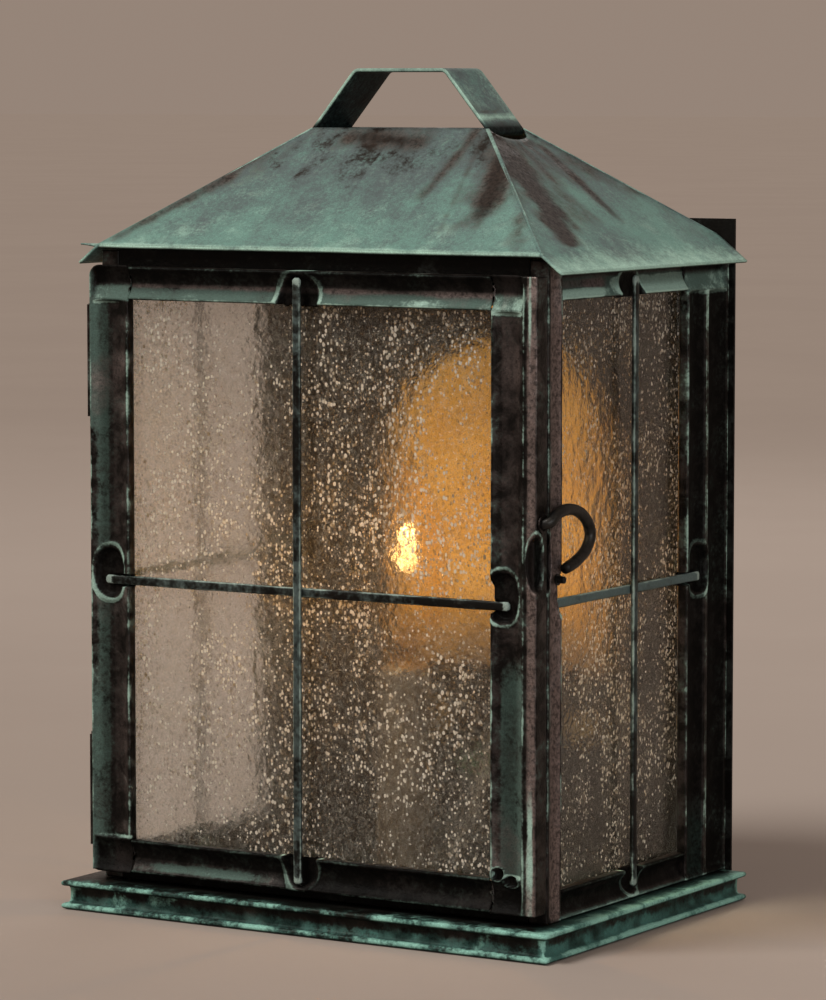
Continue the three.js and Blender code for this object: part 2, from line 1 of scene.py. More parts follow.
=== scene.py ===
# Outdoor wall lantern: aged copper frame, verdigris roof and tray, and seeded glass, drawn round
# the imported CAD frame. Shapes are worked out in millimetres in the row frame (x across, y towards
# the wall at 0, z up) and become metres when a piece's mesh is made.
import json
import math
from dataclasses import dataclass
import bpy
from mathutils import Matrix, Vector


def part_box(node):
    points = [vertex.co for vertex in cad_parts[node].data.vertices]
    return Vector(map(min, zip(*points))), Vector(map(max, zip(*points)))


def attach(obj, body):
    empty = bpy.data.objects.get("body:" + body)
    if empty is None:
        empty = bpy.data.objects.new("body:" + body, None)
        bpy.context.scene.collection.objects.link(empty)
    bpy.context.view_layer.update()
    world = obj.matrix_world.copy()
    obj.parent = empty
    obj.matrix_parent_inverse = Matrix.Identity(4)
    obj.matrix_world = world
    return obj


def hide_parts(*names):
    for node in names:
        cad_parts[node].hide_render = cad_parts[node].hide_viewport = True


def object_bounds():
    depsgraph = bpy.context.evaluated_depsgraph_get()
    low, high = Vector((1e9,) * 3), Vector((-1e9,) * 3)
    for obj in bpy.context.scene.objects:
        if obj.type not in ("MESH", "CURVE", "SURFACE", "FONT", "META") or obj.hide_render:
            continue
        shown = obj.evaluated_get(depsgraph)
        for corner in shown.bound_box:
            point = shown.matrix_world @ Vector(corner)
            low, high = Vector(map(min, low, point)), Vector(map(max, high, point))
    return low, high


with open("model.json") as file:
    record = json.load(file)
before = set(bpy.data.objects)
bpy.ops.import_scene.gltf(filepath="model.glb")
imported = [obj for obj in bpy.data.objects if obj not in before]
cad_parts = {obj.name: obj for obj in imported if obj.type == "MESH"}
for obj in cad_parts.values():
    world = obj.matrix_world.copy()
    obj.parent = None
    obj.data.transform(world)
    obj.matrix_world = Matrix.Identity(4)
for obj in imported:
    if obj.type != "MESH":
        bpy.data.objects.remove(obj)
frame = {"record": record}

from types import SimpleNamespace

import bpy
from mathutils import Vector, noise

CAD_BOX = [list(corner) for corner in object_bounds()]

MM = 0.001
SHEET = 0.75                    # wall of the frame members
PLATE = 0.9                     # wall of the roof and the tray
SIDES = {"left": -1, "right": 1}

X = Vector((1, 0, 0))
Y = Vector((0, 1, 0))
Z = Vector((0, 0, 1))


# --- Small helpers -------------------------------------------------------------------------------
def box_mm(node):
    """A CAD node's lowest and highest corners, in millimetres."""
    low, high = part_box(node)
    return low / MM, high / MM


def centre_mm(node):
    low, high = box_mm(node)
    return (low + high) / 2


def size_across(node, axis):
    low, high = box_mm(node)
    return abs((high - low).dot(axis))


def spaced(start, stop, step):
    """Evenly spaced values from start to stop, about a step apart."""
    count = max(1, round(abs(stop - start) / step))
    return [start + (stop - start) * i / count for i in range(count + 1)]


def merged(*lists):
    """Sorted values of several lists, without near repeats."""
    values = []
    for value in sorted(v for values_in in lists for v in values_in):
        if not values or value - values[-1] > 0.15:
            values.append(value)
    return values


def smooth(low, high, value):
    """A soft step from 0 at low to 1 at high."""
    t = min(max((value - low) / (high - low), 0), 1)
    return t * t * (3 - 2 * t)


def within(low, high, soft, value):
    """1 between low and high, with a step as soft as `soft` at either end."""
    return smooth(low - soft, low + soft, value) * smooth(high + soft, high - soft, value)


def bump(value, middle, width):
    return math.exp(-(((value - middle) / width) ** 2))


def hollow(t):
    """The section of a pressed channel, from 0 at its rims to 1 at its middle."""
    return math.sin(math.pi * t) ** 0.75


def rough(point, size, seed=0):
    """Smooth noise from about -1 to 1 whose features are `size` millimetres across."""
    return noise.noise(Vector(point) / size + Vector((seed * 7.3, seed * 3.1, seed * 5.7)))


def smooth_path(points, per_span=8):
    """Catmull-Rom points through a route."""
    points = [Vector(p) for p in points]
    ends = [2 * points[0] - points[1], *points, 2 * points[-1] - points[-2]]
    path = []
    for a, b, c, d in zip(ends, ends[1:], ends[2:], ends[3:]):
        for i in range(per_span):
            t = i / per_span
            path.append(0.5 * (2 * b + (c - a) * t + (2 * a - 5 * b + 4 * c - d) * t * t
                               + (3 * b - a - 3 * c + d) * t ** 3))
    return [*path, points[-1]]


def frames_along(path, across):
    """Each point of a path with its number and two directions square to it, without twist."""
    last = len(path) - 1
    for i, point in enumerate(path):
        along = (path[min(i + 1, last)] - path[max(i - 1, 0)]).normalized()
        across = (across - along * across.dot(along)).normalized()
        yield i, point, across, along.cross(across)


def oval(centre, u, v, count):
    """Points round an ellipse whose half axes are the vectors u and v."""
    turns = (2 * math.pi * i / count for i in range(count))
    return [centre + u * math.cos(a) + v * math.sin(a) for a in turns]


# --- Making pieces -------------------------------------------------------------------------------
class Paint(dict):
    """Lists of the values that materials read at each point, by field."""

    def add(self, **amounts):
        for field, amount in amounts.items():
            self.setdefault(field, []).append(amount)


def piece(name, points, faces, body, slot, replaces=(), paint=None, sheet=0.0, material=None):
    """A mesh piece from points in millimetres; a sheet's wall is built behind its points."""
    mesh = bpy.data.meshes.new(name)
    mesh.from_pydata([tuple(Vector(p) * MM) for p in points], [], faces)
    mesh.polygons.foreach_set("use_smooth", [True] * len(mesh.polygons))
    for field, values in (paint or {}).items():
        mesh.attributes.new(field, "FLOAT", "POINT").data.foreach_set("value", values)
    mesh.validate()
    mesh.update()
    obj = bpy.data.objects.new(name, mesh)
    bpy.context.scene.collection.objects.link(obj)
    obj.data.materials.append(MATERIALS[material or slot])
    if sheet:
        shell = obj.modifiers.new("sheet", "SOLIDIFY")
        shell.thickness = sheet * MM
        shell.offset = -1
        shell.use_even_offset = False
    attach(obj, body)
    if replaces:
        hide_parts(*replaces)


def grid_faces(rows, columns, flip=False, wrap=False, close=False):
    """Quads over a grid of points stored row by row.

    `wrap` joins the last column to the first, and `close` joins the last row to the first.
    """
    faces = []
    for row in range(rows if close else rows - 1):
        start, following = row * columns, (row + 1) % rows * columns
        for column in range(columns if wrap else columns - 1):
            beside = (column + 1) % columns
            quad = (start + column, start + beside, following + beside, following + column)
            faces.append(quad[::-1] if flip else quad)
    return faces


def tube(name, rings, body, slot, replaces=(), paint=None, material=None):
    """A closed skin over rings of points, with flat caps."""
    count = len(rings[0])
    points = [p for ring in rings for p in ring]
    faces = grid_faces(len(rings), count, wrap=True)
    faces += [tuple(range(count))[::-1], tuple(range(len(points) - count, len(points)))]
    piece(name, points, faces, body, slot, replaces, paint, material=material)


def lathe(name, profile, axis, body, slot, replaces, segments=40):
    """Turns (radius, height) pairs about an upright axis."""
    points = []
    for out in oval(Vector(), X, Y, segments):
        points += [axis + out * radius + Z * height for radius, height in profile]
    faces = grid_faces(segments, len(profile), flip=True, close=True)
    piece(name, points, faces, body, slot, replaces)


# --- Materials -----------------------------------------------------------------------------------
class Tree:
    """A material's node tree, with short calls for the nodes used here."""

    def __init__(self, name):
        self.material = bpy.data.materials.new(name)
        self.material.use_nodes = True
        self.tree = self.material.node_tree
        self.tree.nodes.clear()
        self.place = self.node("TexCoord").outputs["Object"]

    def node(self, kind, inputs=None, **settings):
        made = self.tree.nodes.new(f"ShaderNode{kind}")
        for key, value in settings.items():
            setattr(made, key, value)
        for key, value in (inputs or {}).items():
            self.join(made.inputs[key], value)
        return made

    def join(self, socket, value):
        if isinstance(value, bpy.types.NodeSocket):
            self.tree.links.new(value, socket)
        elif socket.type == "RGBA":
            socket.default_value = (*value, 1.0)
        else:
            socket.default_value = value

    def stretched(self, stretch):
        return self.node("Mapping", {"Vector": self.place, "Scale": stretch}).outputs[0]

    def noise(self, scale, detail=4.0, roughness=0.6, stretch=None, distortion=0.0):
        vector = self.stretched(stretch) if stretch else self.place
        return self.node("TexNoise", {"Vector": vector, "Scale": scale, "Detail": detail,
                                      "Roughness": roughness, "Distortion": distortion}).outputs[0]

    def field(self, name):
        return self.node("Attribute", attribute_name=name).outputs["Fac"]

    def math(self, operation, a, b, clamp=False):
        return self.node("Math", {0: a, 1: b}, operation=operation, use_clamp=clamp).outputs[0]

    def add(self, a, b, clamp=False):
        return self.math("ADD", a, b, clamp)

    def minus(self, a, b, clamp=False):
        return self.math("SUBTRACT", a, b, clamp)

    def times(self, a, b, clamp=False):
        return self.math("MULTIPLY", a, b, clamp)

    def most(self, a, b):
        return self.math("MAXIMUM", a, b)

    def ramp(self, value, low, high, to_low=0.0, to_high=1.0):
        return self.node("MapRange", {"Value": value, "From Min": low, "From Max": high,
                                      "To Min": to_low, "To Max": to_high},
                         interpolation_type="SMOOTHSTEP").outputs[0]

    def mix(self, factor, a, b):
        made = self.node("Mix", {"Factor": factor}, data_type="RGBA")
        colours = [socket for socket in made.inputs if socket.type == "RGBA"]
        for socket, value in zip(colours, (a, b)):
            self.join(socket, value)
        return next(socket for socket in made.outputs if socket.type == "RGBA")

    def bumped(self, height, strength, distance):
        return self.node("Bump", {"Height": height, "Strength": strength,
                                  "Distance": distance}).outputs[0]

    def blend(self, factor, a, b):
        return self.node("MixShader", {0: factor, 1: a, 2: b}).outputs[0]

    def principled(self, colour, roughness, **inputs):
        """A Principled shader; underscores in the names of `inputs` stand for spaces."""
        named = {key.replace("_", " "): value for key, value in inputs.items()}
        return self.node("BsdfPrincipled", {"Base Color": colour, "Roughness": roughness, **named}).outputs[0]

    def lit_through(self, shader, colour):
        """The shader, which shadow rays pass through with a tint."""
        clear = self.node("BsdfTransparent", {"Color": colour}).outputs[0]
        return self.blend(self.node("LightPath").outputs["Is Shadow Ray"], shader, clear)

    def finish(self, shader):
        self.tree.links.new(shader, self.node("OutputMaterial").inputs["Surface"])
        return self.material


def patina(name, dark, brown, green, light_green, pale, cover, bloom, spread=0.1, relief=0.5):
    """Aged copper: dark and brown metal under a green crust, with pale rubbed edges.

    The edge, crust, copper and soot fields say where it is pale, green, bare and black. Besides
    rubbed edges, verdigris and soot, they carry painted highlights, painted light and painted shade,
    and faces turned downwards are painted black as shade.
    """
    t = Tree(name)
    blotch = t.noise(34, 6, 0.62, distortion=0.6)
    patch = t.noise(130, 5, 0.65, distortion=0.3)
    grain = t.noise(620, 4, 0.7)
    speck = t.noise(1900, 2, 0.6)
    edge, crust_and_light_field, copper, soot_and_shade = map(t.field, ("edge", "crust_and_light", "copper", "soot_and_shade"))

    fine = t.times(t.minus(grain, 0.5), 0.3)
    grainy = t.add(t.add(t.times(blotch, 0.5), t.times(patch, 0.5)), fine)
    lifted = t.add(grainy, t.add(t.times(edge, 0.12), t.times(crust_and_light_field, 0.3)))
    crust_and_light = t.ramp(lifted, 1 - cover - 0.1, 1 - cover + 0.1)
    white = t.ramp(t.add(grainy, t.times(edge, 0.36)), bloom - spread, bloom + spread)
    unrubbed = t.minus(copper, t.times(edge, 0.9))
    bare = t.ramp(t.add(unrubbed, t.times(t.minus(grainy, 0.5), 2.2)), 0.1, 1.05)

    deep_brown = tuple(channel * 0.18 for channel in brown)
    metal = t.mix(t.ramp(patch, 0.4, 0.62), dark, deep_brown)
    shade = t.add(t.times(t.noise(60, 7, 0.72), 0.6), t.times(grain, 0.4))
    shade = t.add(shade, t.times(crust_and_light_field, 0.22))
    greens = t.mix(t.ramp(shade, 0.38, 0.74), green, light_green)
    coloured = t.mix(crust_and_light, metal, greens)
    coloured = t.mix(white, coloured, pale)
    coloured = t.mix(bare, coloured, t.mix(t.ramp(grain, 0.35, 0.7), brown, deep_brown))
    coloured = t.mix(t.ramp(speck, 0.3, 0.7, 0.0, 0.3), coloured, dark)
    # Faces turned downwards are painted black as shade under overhangs, on top of the soot field's black.
    up = t.node("SeparateXYZ", {0: t.node("NewGeometry").outputs["Normal"]}).outputs[2]
    soot_and_underside_shade = t.most(soot_and_shade, t.ramp(up, -0.8, -0.25, 0.9, 0.0))
    black = t.times(soot_and_underside_shade, t.ramp(grain, 0.2, 0.8, 1.0, 0.8), clamp=True)
    coloured = t.mix(black, coloured, (0.0022, 0.0021, 0.0019))

    covered = t.times(t.most(crust_and_light, white), t.minus(1.0, black, clamp=True))
    height = t.add(t.times(grain, 0.5), t.add(t.times(patch, 1.6), t.times(speck, 0.12)))
    return t.finish(t.principled(
        coloured, t.add(t.ramp(covered, 0.0, 1.0, 0.46, 0.74), fine, clamp=True),
        Metallic=t.times(t.ramp(covered, 0.0, 1.0, 0.7, 0.08), t.ramp(black, 0.3, 0.9, 1.0, 0.0)),
        Specular_IOR_Level=t.ramp(black, 0.2, 0.9, 0.24, 0.03),
        Normal=t.bumped(height, relief, 0.0006)))


def seeds(t, scale, fewest, most):
    """Bubbles in glass: (where they are, a random number for each) at one size, in drifts."""
    tall = t.stretched((1.0, 1.0, 0.75))
    cells = t.node("TexVoronoi", {"Vector": tall, "Scale": scale, "Randomness": 1.0})
    random = t.node("SeparateColor", {"Color": cells.outputs["Color"]})
    share = t.ramp(t.noise(40, 3, 0.6, (1.0, 1.0, 0.6)), 0.32, 0.6, fewest, most)
    radius = t.times(t.minus(random.outputs[0], t.minus(1.0, share)), 0.62)
    return t.ramp(t.minus(radius, cells.outputs["Distance"]), 0.0, 0.05), random.outputs[1]


def seeded_glass():
    """Old glass: wavy, with seeds (bubbles) that catch the light from either side.

    The field `haze` says how dusty the pane is.
    """
    t = Tree("seeded_glass")
    large, tone = seeds(t, 430.0, 0.15, 0.6)
    small, small_tone = seeds(t, 800.0, 0.4, 0.95)
    dust = t.ramp(t.noise(1100, 3, 0.6), 0.5, 0.66)
    haze = t.field("haze")
    film = t.add(t.times(dust, 0.26), t.times(haze, 0.04))
    bubbles = t.most(t.times(large, t.ramp(tone, 0.1, 0.9, 0.4, 1.0)),
                     t.most(t.times(small, t.ramp(small_tone, 0.1, 0.9, 0.2, 1.0)), film))
    bubbles = t.times(bubbles, t.ramp(haze, 0.0, 1.0, 0.68, 1.0))
    ripple = t.noise(210, 3, 0.5)
    height = t.add(t.times(ripple, 0.8), t.times(t.most(large, small), 0.4))
    normal = t.bumped(height, 0.5, 0.001)

    tint = t.mix(t.ramp(ripple, 0.3, 0.7), (0.97, 0.96, 0.93), (1.0, 1.0, 0.99))
    glass = t.principled(tint, t.ramp(ripple, 0.3, 0.7, 0.13, 0.2), IOR=1.3, Transmission_Weight=1.0,
                         Normal=normal)
    grey = t.mix(t.ramp(small_tone, 0.3, 0.8), (0.08, 0.07, 0.055), (0.62, 0.60, 0.53))
    bubble = t.principled(grey, 0.25, Normal=normal)
    from_behind = t.node("BsdfTranslucent", {"Color": (0.60, 0.56, 0.46)}).outputs[0]
    surface = t.blend(bubbles, glass, t.blend(0.4, bubble, from_behind))
    return t.finish(t.lit_through(surface, (0.86, 0.84, 0.78)))


def planished_copper():
    """Warm copper with drifts of tarnish and fine level brush marks, darkened by a field of painted shade."""
    t = Tree("reflector_copper")
    drift = t.noise(45, 5, 0.65)
    brush = t.noise(900, 2, 0.6, (0.04, 1.0, 1.0))
    tarnish = t.ramp(t.noise(110, 5, 0.7), 0.45, 0.75)
    warm = t.mix(t.ramp(drift, 0.35, 0.65), (0.76, 0.44, 0.09), (0.90, 0.58, 0.14))
    aged = t.mix(t.times(tarnish, 0.5), warm, (0.36, 0.18, 0.05))
    flame_falloff_shade = t.times(t.field("soot_and_shade"), t.ramp(drift, 0.3, 0.6, 0.6, 1.0))
    return t.finish(t.principled(
        t.mix(flame_falloff_shade, aged, (0.15, 0.10, 0.06)), t.ramp(tarnish, 0.0, 1.0, 0.36, 0.5), Metallic=0.55,
        Normal=t.bumped(brush, 0.6, 0.0004)))


def bulb_glass():
    t = Tree("bulb_glass")
    haze = t.noise(90, 3, 0.6)
    glass = t.principled(t.mix(haze, (1.0, 0.9, 0.72), (1.0, 0.97, 0.9)), t.ramp(haze, 0.3, 0.7, 0.02, 0.08),
                         IOR=1.06, Transmission_Weight=1.0)
    return t.finish(t.lit_through(glass, (0.98, 0.95, 0.88)))


def glowing_filament():
    t = Tree("filament")
    heat = t.mix(t.noise(300, 2, 0.5), (1.0, 0.62, 0.2), (1.0, 0.86, 0.5))
    return t.finish(t.principled((0.9, 0.55, 0.2), 0.5, Emission_Color=heat, Emission_Strength=11.0))


def simple(name, low, high, roughness, metallic, scale=240, specular=0.5):
    """A finish whose colour and roughness drift between two values, with fine relief."""
    t = Tree(name)
    drift = t.ramp(t.noise(scale, 5, 0.65), 0.35, 0.65)
    fine = t.noise(scale * 5, 3, 0.6)
    return t.finish(t.principled(
        t.mix(drift, low, high), t.ramp(fine, 0.3, 0.7, roughness - 0.08, roughness + 0.1),
        Metallic=metallic, Specular_IOR_Level=specular, Normal=t.bumped(fine, 0.25, 0.0003)))


# Colours of each patina; `cover` is how much is green, and a higher `bloom` leaves less of it pale.
PATINAS = {
    "aged_frame": dict(
        dark=(0.0075, 0.0062, 0.0052), brown=(0.25, 0.195, 0.18), green=(0.036, 0.044, 0.036),
        light_green=(0.080, 0.135, 0.114), pale=(0.35, 0.52, 0.44), cover=0.42, bloom=0.70),
    # A near-black copy of the frame's patina, as painted shade on parts that sit in shadow.
    "painted_shade_frame": dict(
        dark=(0.003, 0.003, 0.0026), brown=(0.024, 0.018, 0.015), green=(0.008, 0.010, 0.008),
        light_green=(0.014, 0.017, 0.014), pale=(0.03, 0.036, 0.03), cover=0.4, bloom=0.8),
    "back_sheet": dict(
        dark=(0.010, 0.0085, 0.0075), brown=(0.055, 0.043, 0.036), green=(0.013, 0.015, 0.013),
        light_green=(0.024, 0.030, 0.026), pale=(0.05, 0.06, 0.055), cover=0.44, bloom=0.8, relief=0.3),
    "verdigris_roof": dict(
        dark=(0.030, 0.024, 0.020), brown=(0.090, 0.064, 0.052), green=(0.103, 0.140, 0.142),
        light_green=(0.160, 0.310, 0.266), pale=(0.42, 0.65, 0.54), cover=0.66, bloom=0.74,
        spread=0.22, relief=0.3),
    "verdigris_tray": dict(
        dark=(0.009, 0.010, 0.008), brown=(0.085, 0.066, 0.056), green=(0.022, 0.060, 0.052),
        light_green=(0.060, 0.170, 0.145), pale=(0.27, 0.54, 0.45), cover=0.46, bloom=0.70),
    "glazing_bar": dict(
        dark=(0.009, 0.009, 0.008), brown=(0.07, 0.05, 0.04), green=(0.034, 0.046, 0.040),
        light_green=(0.095, 0.135, 0.130), pale=(0.28, 0.36, 0.32), cover=0.45, bloom=0.7, relief=0.4),
}

# The two colours that each finish drifts between, its roughness and how metallic it is.
FINISHES = {
    "latch_wire": ((0.006, 0.006, 0.006), (0.022, 0.020, 0.017), 0.42, 0.6),
    "brass": ((0.30, 0.20, 0.08), (0.52, 0.37, 0.16), 0.36, 0.95),
    "steel": ((0.32, 0.33, 0.33), (0.52, 0.52, 0.51), 0.38, 0.95),
    "candle_sleeve": ((0.060, 0.042, 0.026), (0.13, 0.10, 0.066), 0.5, 0.4),
    "lamp_holder": ((0.008, 0.007, 0.006), (0.020, 0.018, 0.015), 0.42, 0.0),
    "filament_leg": ((0.10, 0.09, 0.08), (0.2, 0.19, 0.18), 0.4, 0.9),
    "rubber": ((0.008, 0.008, 0.008), (0.020, 0.020, 0.019), 0.75, 0.0),
    "lead_black": ((0.010, 0.010, 0.010), (0.024, 0.023, 0.022), 0.5, 0.0),
    "lead_white": ((0.20, 0.19, 0.165), (0.31, 0.30, 0.265), 0.5, 0.0),
    "earth_green": ((0.04, 0.15, 0.05), (0.08, 0.26, 0.09), 0.42, 0.7),
}

MATERIALS = {
    "seeded_glass": seeded_glass(),
    "reflector_copper": planished_copper(),
    "bulb_glass": bulb_glass(),
    "filament": glowing_filament(),
    **{name: patina(name, **tones) for name, tones in PATINAS.items()},
    **{name: simple(name, *finish) for name, finish in FINISHES.items()},
}


# --- Frame members -------------------------------------------------------------------------------
RIM = 1.1                       # width of the raised rim along a pressed channel
FOLD = 0.8                      # radius of a member's folded corners
LIP = 4.0                       # depth of the lip at the glass edge
POCKET_DEPTH = 3.5
NOTCH_DEPTH = 4.1
BAND_DEPTH = 2.6


def strip_amount(u, share, start, end, amount, begin=-0.1, stop=1.1):
    """A strip of colour's amount, between two places across a member and two shares along it."""
    return amount * within(start, end, 0.8, u) * within(begin, stop, 0.05, share)


class Marks(dict):
    """The amount of each field at one point."""

    def lift(self, field, amount, kept=1.0):
        """At least `amount`, after only the share `kept` of what was there stays."""
        self[field] = max(self[field] * kept, amount)


@dataclass
class Pressing:
    """What is pressed into a member's face: places across it count from its outer edge."""

    channels: tuple                 # (start, end, depth) across
    strips: dict                    # by field, what strip_amount takes from `start` on, for each strip
    pockets: tuple = ()             # (across, along, half width, half height)
    notch: float | None = None      # where along it a bar crosses the glass edge
    dent: tuple | None = None       # (along, half height, half width) on the outer corner
    bands: tuple = (0.0, 0.0)       # lengths of the cross channels that carry the rails on at its ends
    rimmed: bool = True             # whether ends without a band have a raised rim
    corner: float = 0.0             # radius of the outer corner at its far end


def channel_relief(shape, u, s, length, marks):
    """Depth of the long channels and the end bands at a face point; `marks` collects the colours."""
    dish = 0.0
    for start, end, depth in shape.channels:
        t = (u - start - RIM) / (end - start - 2 * RIM)
        if 0 < t < 1:
            dish = depth * hollow(t)
            marks["soot_and_shade"] = 0.6 * smooth(0.3, 1.0, hollow(t)) * smooth(0.8, 2.0, depth)
        for rim in (start + 0.5, end - 0.5):
            marks.lift("edge", 0.55 * bump(u, rim, 0.55))
    for field, strips in shape.strips.items():
        for strip in strips:
            marks.lift(field, strip_amount(u, s / length, *strip))
    past_edge = smooth(0.5, 2.6, u - shape.channels[0][0])
    # Where a rail's channel crosses the member's end, its band is painted black as shade. At the top end only
    # its upper part is, as the shadow under the roof, and its lower part is painted green and pale as light
    # where it faces up. A pale line runs along the band's edge.
    for at_top, from_end, band in ((False, s, shape.bands[0]), (True, length - s, shape.bands[1])):
        if band:
            t = min(from_end / band, 1)
            share = smooth(band + 1.2, band - 0.4, from_end) * past_edge
            lit = smooth(0.45, 0.65, t) if at_top else 0.0
            dish = dish * (1 - share) + BAND_DEPTH * hollow(t) * share
            marks["soot_and_shade"] = marks["soot_and_shade"] * (1 - share) + share * (1 - lit)
            marks.lift("crust_and_light", share * lit, 1 - share)
            marks.lift("edge", 0.4 * share * lit, 1 - share)
            marks.lift("edge", 1.1 * bump(from_end, band + 1.0, 0.8) * past_edge)
        elif shape.rimmed:
            dish *= smooth(0, 2.2, from_end - RIM)
            marks.lift("edge", 0.9 * bump(from_end, 0.5, 0.6))
    return dish


def pocket_relief(shape, u, s, deep, on_face, marks):
    """Presses the bars' pockets and notches into a face point at depth `deep`."""
    for across, along, half_width, half_height in shape.pockets:
        e = (abs((u - across) / half_width) ** 2.4 + abs((s - along) / half_height) ** 2.4) ** (1 / 2.4)
        if e < 1.5:
            deep = max(deep, POCKET_DEPTH * smooth(1.0, 0.8, e))
            rim = bump(e, 1.09, 0.085)
            if on_face:
                deep -= 0.5 * rim
            # The pocket is painted black inside, partly dark patina and partly painted shade in the hollow.
            # Its rim is pale, and paler on its lower side as a painted highlight where the rim faces up.
            marks.lift("soot_and_shade", smooth(1.03, 0.93, e), smooth(0.9, 1.08, e))
            low_side = 0.75 + 0.45 * smooth(0.3, -0.8, (s - along) / half_height)
            marks.lift("edge", 1.25 * low_side * rim, smooth(0.95, 1.05, e))
            marks["crust_and_light"] *= smooth(0.9, 1.05, e)
    # The notch is painted black inside as shade in the slot.
    if shape.notch is not None:
        inner = max((across for across, *_ in shape.pockets), default=0)
        share = smooth(2.7, 2.2, abs(s - shape.notch)) * smooth(inner - 1, inner + 1, u)
        deep = max(deep, NOTCH_DEPTH * share)
        marks.lift("soot_and_shade", share)
    return deep


def dent_relief(dent, u, v, s, marks):
    """How far the dent on the outer corner pushes a point in, both ways."""
    if not dent or u >= 7 or v >= 7:
        return 0.0
    at, half_height, half_width = dent
    e = math.hypot((s - at) / half_height, max(u, v - FOLD, 0) / half_width)
    # The dent is painted black inside, partly dark patina and partly painted shade in the hollow, with a pale
    # rim.
    marks.lift("soot_and_shade", smooth(1.0, 0.88, e))
    marks.lift("edge", 0.6 * bump(e, 1.08, 0.1), smooth(0.9, 1.05, e))
    return 2.4 * smooth(1.0, 0.7, e)


def corner_drop(radius, length, u, s):
    """How far the rounded outer corner takes a point down the member."""
    if u >= radius:
        return 0.0
    return (radius - math.sqrt(radius ** 2 - (radius - u) ** 2)) * smooth(length - 4 * radius, length, s)


def section_line(width, depth, shape):
    """(across, deep) points round the outside of a member, from its back lip over its face."""
    fold = [(FOLD * (1 - math.sin(a)), FOLD * (1 - math.cos(a))) for a in spaced(0, math.pi / 2, math.pi / 8)]
    line = [(width - LIP, depth), (FOLD, depth)]
    line += [(u, depth - v) for u, v in fold]
    line += [(0, v) for v in spaced(depth - FOLD, FOLD, 1.1)[1:-1]]
    line += [(v, u) for u, v in fold]
    rims = [spaced(start - RIM, start + 2 * RIM, 0.4) for start, _, _ in shape.channels if start > 2 * RIM]
    across = merged(spaced(FOLD, width - FOLD, 0.75), spaced(FOLD, 2 * RIM, 0.4),
                    spaced(width - 2 * RIM, width - FOLD, 0.4), *rims)
    line += [(u, 0) for u in across[1:-1]]
    line += [(width - u, v) for u, v in fold]
    return line + [(width, v) for v in spaced(FOLD, LIP, 1.1)[1:]]


def steps_along(length, shape):
    """Places along a member, close together where something is pressed into it."""
    busy = [spaced(max(at - 1.35 * half, 0), min(at + 1.35 * half, length), 0.5)
            for _, at, _, half in shape.pockets]
    if shape.notch is not None:
        busy.append(spaced(shape.notch - 3.5, shape.notch + 3.5, 0.4))
    if shape.dent:
        at, half, _ = shape.dent
        busy.append(spaced(at - 1.3 * half, at + 1.3 * half, 0.6))
    near, far = (max(band + 3, 4) for band in shape.bands)
    return merged(spaced(0, length, 3.5), spaced(0, near, 0.6), spaced(length - far, length, 0.6), *busy)


def member(name, to_glass, along, inward, body, shape):
    """A pressed sheet member in the place of a CAD node, whose axes are the three directions."""
    low, high = box_mm(name)
    width, length, depth = (size_across(name, axis) for axis in (to_glass, along, inward))
    origin = Vector([(high if min(to_glass[i], along[i], inward[i]) < 0 else low)[i] for i in range(3)])
    seed = sum(map(ord, name)) % 17
    section = section_line(width, depth, shape)
    steps = steps_along(length, shape)
    points = []
    paint = Paint()
    for s in steps:
        for u, v in section:
            marks = Marks(edge=0.0, crust_and_light=0.0, soot_and_shade=0.0, copper=0.0)
            on_face = v < FOLD + 0.01 and u > 0
            deep = v + (channel_relief(shape, u, s, length, marks) if on_face else 0)
            deep = pocket_relief(shape, u, s, deep, on_face, marks)
            dented = dent_relief(shape.dent, u, v, s, marks)
            deep += dented
            if on_face:
                place = origin + to_glass * u + along * s
                deep += 0.14 * rough(place, 26, 1) + 0.07 * rough(place, 7, 2)
            drop = corner_drop(shape.corner, length, u, s)
            point = origin + to_glass * (u + dented) + along * (s - drop) + inward * deep
            points.append(point)
            marks["edge"] *= 0.85 + 0.9 * rough(point, 17, seed)
            marks["crust_and_light"] *= 0.9 + 0.5 * rough(point, 24, seed + 1)
            marks["copper"] += 0.4 * smooth(0.0, 0.5, rough(point, 28, seed + 3))
            paint.add(**marks)
    faces = grid_faces(len(steps), len(section), flip=to_glass.cross(along).dot(inward) > 0)
    piece(f"{name}_pressed", points, faces, body, "aged_frame", [name], paint, sheet=SHEET)


